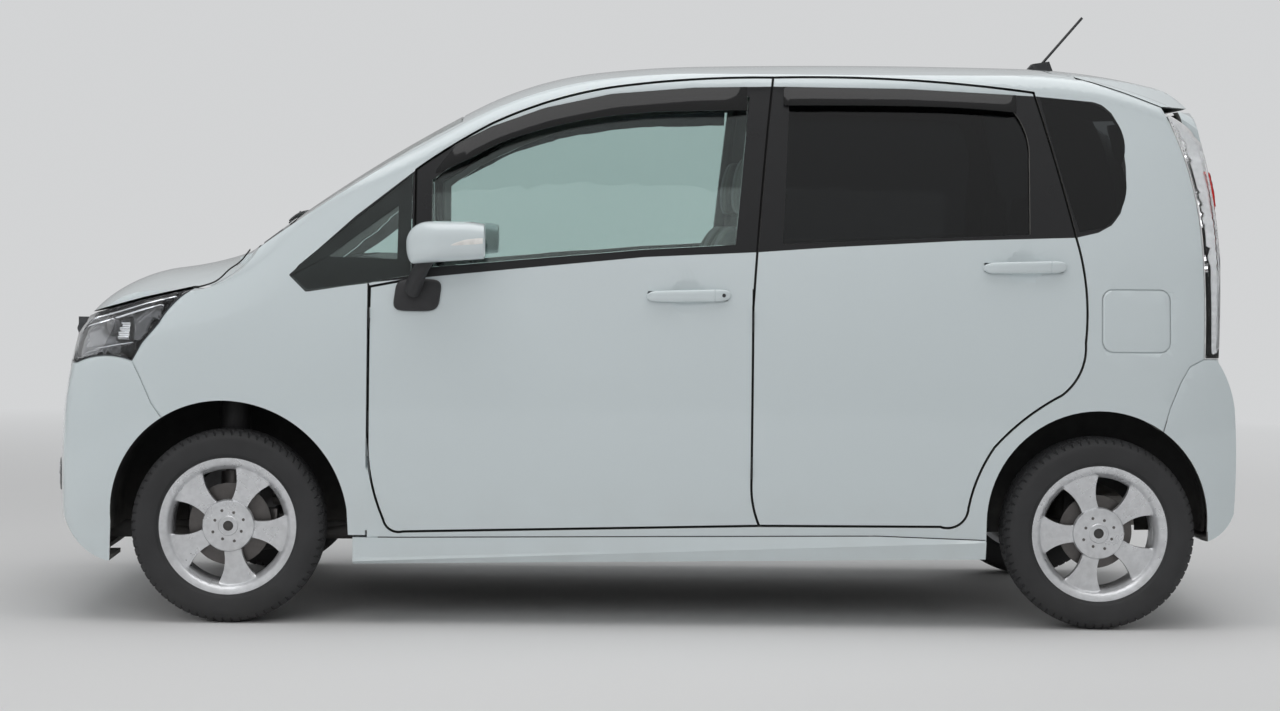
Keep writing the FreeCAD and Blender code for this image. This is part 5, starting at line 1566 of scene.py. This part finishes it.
@dataclass
class DoorGrip:
    """The pull handle of a side door, with the seam of its lock end."""

    door: str
    first: float
    last: float
    z: float
    face: float
    button: bool

    def covers(self, at: Vector) -> bool:
        """Whether a point belongs to the door's own plain grip."""
        return (self.first - 0.004 < at.x < self.last + 0.004 and self.z - 0.027 < at.z < self.z + 0.029
                and abs(at.y) > self.face - 0.0215)

    def height(self, share: Array | float) -> Array | float:
        """The bar's middle height, which rises to the rear."""
        return self.z - 0.001 + 0.006 * share

    def bar(self) -> list[Surface]:
        """The bar.

        Formula in words: oblong rings run from the front to the rear end; their half height falls
        to the ends as a high power, their middle rises to the rear, and they bow to the door at
        both ends. At the seam two rings draw in for a narrow groove, and two stubs join the bar
        to the door.
        """
        share = np.concatenate([0.5 - 0.5 * np.cos(np.linspace(0.0, math.pi, 64)),
                                [0.802, 0.804, 0.810, 0.812]])
        order = np.argsort(share)
        share, sunk = share[order, None], np.append(np.zeros(64), [0.0, 0.0014, 0.0014, 0.0])[order, None]
        off = np.abs(2.0 * share - 1.0)
        fade = (1.0 - off ** 9) ** 0.5
        tall = np.maximum(0.0175 * fade * (0.90 + 0.10 * share) - sunk, 1e-5)
        deep = np.maximum(0.0080 * fade - sunk, 1e-5)
        out, up = rounded(around(36)[None], 0.7)
        middle = self.face - 0.0085 - 0.0075 * off ** 4
        bar = points_of(self.first + (self.last - self.first) * share, deep * out - middle,
                        self.height(share) + tall * up)
        feet = [tube(np.array([(x, 0.031 - self.face, self.z), (x, 0.008 - self.face, self.z)]), 0.0105, 20)
                for x in (self.first + 0.026, self.last - 0.026)]
        return [lattice(bar, wrap_columns=True)] + feet

    def build(self, shop: Shop) -> None:
        """Builds the handle on both sides."""
        node, at = f"door_{self.door}", 0.915
        dot = np.array([(1e-5, -0.0014), (0.0044, -0.0012), (0.0052, -0.0004), (0.0054, 0.004)])
        place = (self.first + (self.last - self.first) * at, 0.0044 - self.face, self.height(at))
        bar, button = self.bar(), [spun(dot, place, steps=24)]
        for side in Side:
            shop.on_side(side, f"handle_{self.door}", bar, "pearl paint plain", node, 40.0)
            if self.button:
                shop.on_side(side, "handle_button", button, "grained black", node)


@dataclass
class Patch:
    """A small rounded plate that lies on the front or rear skin, on both sides or in the middle."""

    name: str
    node: str
    y: float
    z: float
    half_y: float
    half_z: float
    rear: bool
    finish: str
    body: str = "root"
    proud: float = 0.003
    power: float = 0.5

    def build(self, shop: Shop) -> None:
        """Lays the plate on the skin.

        Formula in words: rings of a rounded oblong shrink from the outline to the middle; level
        rays lay them on the skin, and they rise to the full height within the first rings.
        """
        size = np.array([1.0, 1.0, 0.985, 0.95, 0.8, 0.5, 0.02])[:, None]
        rise = np.array([-0.002, 0.45, 0.8, 0.95, 1.0, 1.0, 1.0])[:, None] * self.proud
        across, up = rounded(around(64)[None], self.power)
        away = 1.0 if self.rear else -1.0
        place = points_of(2.2 * away, self.y + size * self.half_y * across, self.z + size * self.half_z * up)
        face = BodySkin(shop, self.node).laid(place, (-away, 0.0, 0.0))
        face[..., 0] += away * rise
        put = shop.pair if self.y else shop.surface
        put(self.name, [lattice(face, wrap_columns=True)], self.finish, self.body, 40.0)


@dataclass
class HoodSeam:
    """A dark tube in the shut gaps between the hood and the fenders: painted shade for the shadow in the
    gaps.
    """

    knots: tuple[Point, ...] = (
        (-1.290, -0.6888, 0.9362), (-1.237, -0.6800, 0.9505), (-1.211, -0.6750, 0.9650),
        (-1.185, -0.6682, 0.9905), (-1.154, -0.6664, 1.0135), (-1.126, -0.6652, 1.0480))

    def build(self, shop: Shop) -> None:
        """Lays a thin smooth tube in both gaps."""
        # Painted shade: a dark tube for the shadow in each hood gap.
        shop.pair("hood_seam", [tube(smooth_path(list(self.knots), 8), 0.0022, 10)], "rubber seal")


@dataclass
class CornerBorder:
    """The black border printed behind a front corner pane, around its clear part."""

    outer: tuple[Spot, ...] = (
        (-1.008, 0.977), (-0.964, 0.938), (-0.880, 0.949), (-0.795, 0.960), (-0.675, 0.983), (-0.675, 1.262),
        (-0.752, 1.200), (-0.831, 1.135), (-0.910, 1.069), (-0.986, 1.004))
    inner: tuple[Spot, ...] = (
        (-0.904, 1.032), (-0.897, 1.030), (-0.840, 1.029), (-0.780, 1.027), (-0.713, 1.025), (-0.711, 1.175),
        (-0.759, 1.140), (-0.808, 1.104), (-0.856, 1.068), (-0.893, 1.041))
    depth: float = 0.0075

    def build(self, shop: Shop) -> None:
        """Lays a closed band between the two outlines behind both panes.

        Formula in words: both outlines are walked in step, level rays lay points between them on
        the pane's outer face, and the band stands behind it by the depth.
        """
        at = np.arange(0.0, len(self.outer) + 0.001, 0.125)
        knots = np.arange(len(self.outer) + 1)
        outer, inner = (np.stack([np.interp(at, knots, np.array(row + row[:1])[:, k]) for k in (0, 1)], -1)
                        for row in (self.outer, self.inner))
        flat = outer + (inner - outer) * np.linspace(0.0, 1.0, 6)[:, None, None]
        band = BodySkin(shop, "fixed_side_glass").beside(flat[..., 0], flat[..., 1], -self.depth)
        shop.pair("corner_border", closed_sheet(band, 0.0012), "rubber seal")


@dataclass
class SkirtPanel:
    """The proud outer face of a side skirt, with a crease that rises to the rear."""

    top: tuple[Spot, ...] = ((-0.829, 0.2455), (-0.700, 0.2455), (0.640, 0.2610), (0.950, 0.2515))
    bottom: tuple[Spot, ...] = ((-0.829, 0.1715), (0.950, 0.1990))
    crease: tuple[Spot, ...] = ((-0.829, 0.1790), (0.950, 0.2465))
    step: float = 0.0045
    ridge: float = 0.0125
    spread: int = 6

    def face(self, skin: BodySkin) -> list[Surface]:
        """The faces above and below the crease.

        Formula in words: level rays lay a grid between the top line, the crease and the bottom
        line on the sill, and a running median over thirteen neighbours keeps it even. The offset
        grows in a straight line from the step at the top to the ridge at the crease and falls
        almost to nothing at the bottom.
        """
        x = np.linspace(-0.829, 0.950, 90)[:, None]
        v = np.linspace(0.0, 1.0, 8)[None]
        near = np.clip(np.arange(len(x))[:, None] + np.arange(-self.spread, self.spread + 1), 0, len(x) - 1)
        top, crease, bottom = (line_at(row, x) for row in (self.top, self.crease, self.bottom))
        parts = []
        for z0, z1, rise0, rise1 in ((top, crease, self.step, self.ridge),
                                     (crease, bottom, self.ridge, 0.001)):
            face = skin.beside(x, z0 + (z1 - z0) * v)
            face[..., 1] = np.median(face[near, :, 1], axis=1) - rise0 - (rise1 - rise0) * v
            parts += closed_sheet(face, 0.0030)
        return parts

    def build(self, shop: Shop) -> None:
        """Builds both skirts' faces, a dark tube along their top edge as painted shade of the gap there, and
        the joint in front of the sill.
        """
        skin = BodySkin(shop, "side_skirts", "side_frame_left", "fender_left")
        x = np.linspace(-0.827, 0.948, 80)
        line = skin.beside(x, line_at(self.top, x) + 0.0010, 0.0006)
        cover = skin.beside(np.array((-0.7968, -0.7882))[:, None], np.linspace(0.266, 0.472, 30), 0.0003)
        shop.pair("skirt_face", self.face(skin), "pearl paint plain", angle=5.0)
        # Painted shade: a thin dark tube for the shadow in the gap along the skirt's top edge.
        shop.pair("skirt_line", [tube(line, 0.0016, 8)], "rubber seal", angle=5.0)
        shop.pair("sill_joint", closed_sheet(cover, 0.0015), "pearl paint plain", angle=5.0)


@dataclass
class DoorSeal:
    """The black seal behind a side door's edge, made large enough to fill the gap around it: partly a real
    seal and partly painted shade of the gap.
    """

    door: str
    outline: tuple[Spot, ...]
    radius: float = 0.0125
    inset: float = 0.0088
    depth: float = 0.021

    def build(self, shop: Shop) -> None:
        """Lays a closed tube inside the door's outline, behind its skin.

        Formula in words: the outline is walked in equal steps, moved in across its own direction
        by the inset, laid on the door by level rays and moved inward by the depth. A flattened
        circle stands across the line at each step.
        """
        ring = np.array(self.outline + self.outline[:1])
        reach = np.append(0.0, np.cumsum(np.hypot(*np.diff(ring, axis=0).T)))
        at = np.linspace(0.0, reach[-1], 241)[:-1]
        flat = np.stack([np.interp(at, reach, ring[:, k]) for k in (0, 1)], -1)
        after = np.roll(flat, -1, 0)
        ahead = unit(np.roll(flat, -2, 0) - np.roll(flat, 2, 0))
        inward = np.sign(np.sum(flat[:, 0] * after[:, 1] - after[:, 0] * flat[:, 1])) * self.inset
        x, z = (flat + inward * ahead[:, ::-1] * (-1.0, 1.0)).T
        line = BodySkin(shop, f"door_{self.door}_left").beside(x, z, -self.depth)
        along = unit(np.roll(line, -1, 0) - np.roll(line, 1, 0))
        outward = -np.array(INWARD)
        out = unit(outward - along * (along @ outward)[:, None])[:, None]
        turn = around(12)[:, None]
        points = line[:, None] + self.radius * (np.cos(turn) * np.cross(along[:, None], out)
                                                + 0.8 * np.sin(turn) * out)
        # Partly painted shade: the tube is wide enough to hide the jambs that lie in shadow in the gap.
        parts = [lattice(points, wrap_rows=True, wrap_columns=True)]
        for side in Side:
            shop.on_side(side, f"seal_{self.door}", parts, "rubber seal", f"door_{self.door}")


GRIPS = (DoorGrip("front", -0.014, 0.223, 0.930, 0.736, True),
         DoorGrip("rear", 0.933, 1.169, 1.020, 0.726, False))
PATCHES = (
    Patch("rear_reflectors", "rear_bumper", -0.545, 0.420, 0.055, 0.014, True, "red lens"),
    Patch("fog_lamp_bezels", "front_bumper", -0.520, 0.400, 0.060, 0.045, False, "grained black",
          proud=0.0025),
    Patch("fog_lamps", "front_bumper", -0.520, 0.400, 0.032, 0.032, False, "lamp reflector", proud=0.006,
          power=1.0),
    Patch("rear_garnish", "back_door", 0.0, 1.096, 0.235, 0.016, True, "plated chrome", "back_door",
          proud=0.006, power=0.35),
)
# The seam between a side's two doors, from the roof to the sill
B_SEAM = ((0.343, 1.552), (0.324, 1.376), (0.308, 1.200), (0.292, 1.050), (0.2865, 0.900), (0.2865, 0.400),
          (0.293, 0.340), (0.310, 0.288))
SEALS = (
    DoorSeal("front", B_SEAM + (
        (-0.690, 0.263), (-0.728, 0.270), (-0.745, 0.297), (-0.776, 0.392), (-0.790, 0.520), (-0.790, 0.820),
        (-0.788, 0.948), (-0.664, 0.972), (-0.664, 1.277), (-0.565, 1.345), (-0.454, 1.410), (-0.304, 1.471),
        (-0.116, 1.518), (0.119, 1.544))),
    DoorSeal("rear", B_SEAM + (
        (0.821, 0.290), (0.880, 0.302), (0.899, 0.344), (0.926, 0.436), (0.969, 0.516), (1.048, 0.592),
        (1.157, 0.664), (1.206, 0.722), (1.224, 0.811), (1.229, 0.900), (1.226, 0.960), (1.217, 1.035),
        (1.198, 1.109), (1.135, 1.350), (1.086, 1.518), (0.720, 1.550))),
)
VISORS = (
    Visor("front", ((-0.648, 1.262), (-0.600, 1.270), (-0.510, 1.312), (-0.397, 1.368), (-0.209, 1.420),
                    (-0.022, 1.446), (0.120, 1.453), (0.268, 1.457)), GLAZING_UPPER[2:9]),
    Visor("rear", ((0.372, 1.472), (0.55, 1.474), (0.75, 1.474), (0.90, 1.470), (1.035, 1.460)),
          GLAZING_UPPER[8:11]),
)
DOWN = (0.0, 0.0, -1.0)
WIPERS = (
    Wiper("wiper_left", "root", "windscreen", (-1.100, 0.02, 1.056), (-1.075, 0.02, 1.072),
          ((-1.030, -0.565, 1.45), (-1.010, -0.03, 1.45)), DOWN),
    Wiper("wiper_right", "root", "windscreen", (-1.085, 0.50, 1.045), (-1.062, 0.49, 1.062),
          ((-1.040, 0.00, 1.45), (-0.975, 0.56, 1.45)), DOWN),
    Wiper("wiper_rear", "back_door", "back_door_glass", (1.642, -0.02, 1.100), (1.652, -0.05, 1.125),
          ((1.80, -0.06, 1.150), (1.80, -0.40, 1.150)), (-1.0, 0.0, 0.0)),
)
PLATES = (
    Plate("plate_front", "root", (-1.6966, 0.0, 0.523), (-1.6846, 0.0, 0.6875), -1.0),
    Plate("plate_rear", "back_door", (1.6455, 0.0, 0.9075), (1.6440, 0.0, 1.0725), 1.0),
)
WHEELS = tuple(Wheel(place, side, x, half_track) for place, x, half_track in
               (("front", -1.1805, 0.6525), ("rear", 1.2745, 0.650)) for side in Side)


def main() -> None:
    """Builds the studio and every part of the car in order."""
    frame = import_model()
    Studio().build()
    shop = Shop(frame)
    for part in (Shell(), *WHEELS, HeadLamp(), TailLamp(), *VISORS, DoorMirror(), *SEALS, *GRIPS,
                 SkirtPanel(), CornerBorder(), HoodSeam(), *PATCHES, *WIPERS, *PLATES, Seats()):
        part.build(shop)


if __name__ == "__main__":
    main()
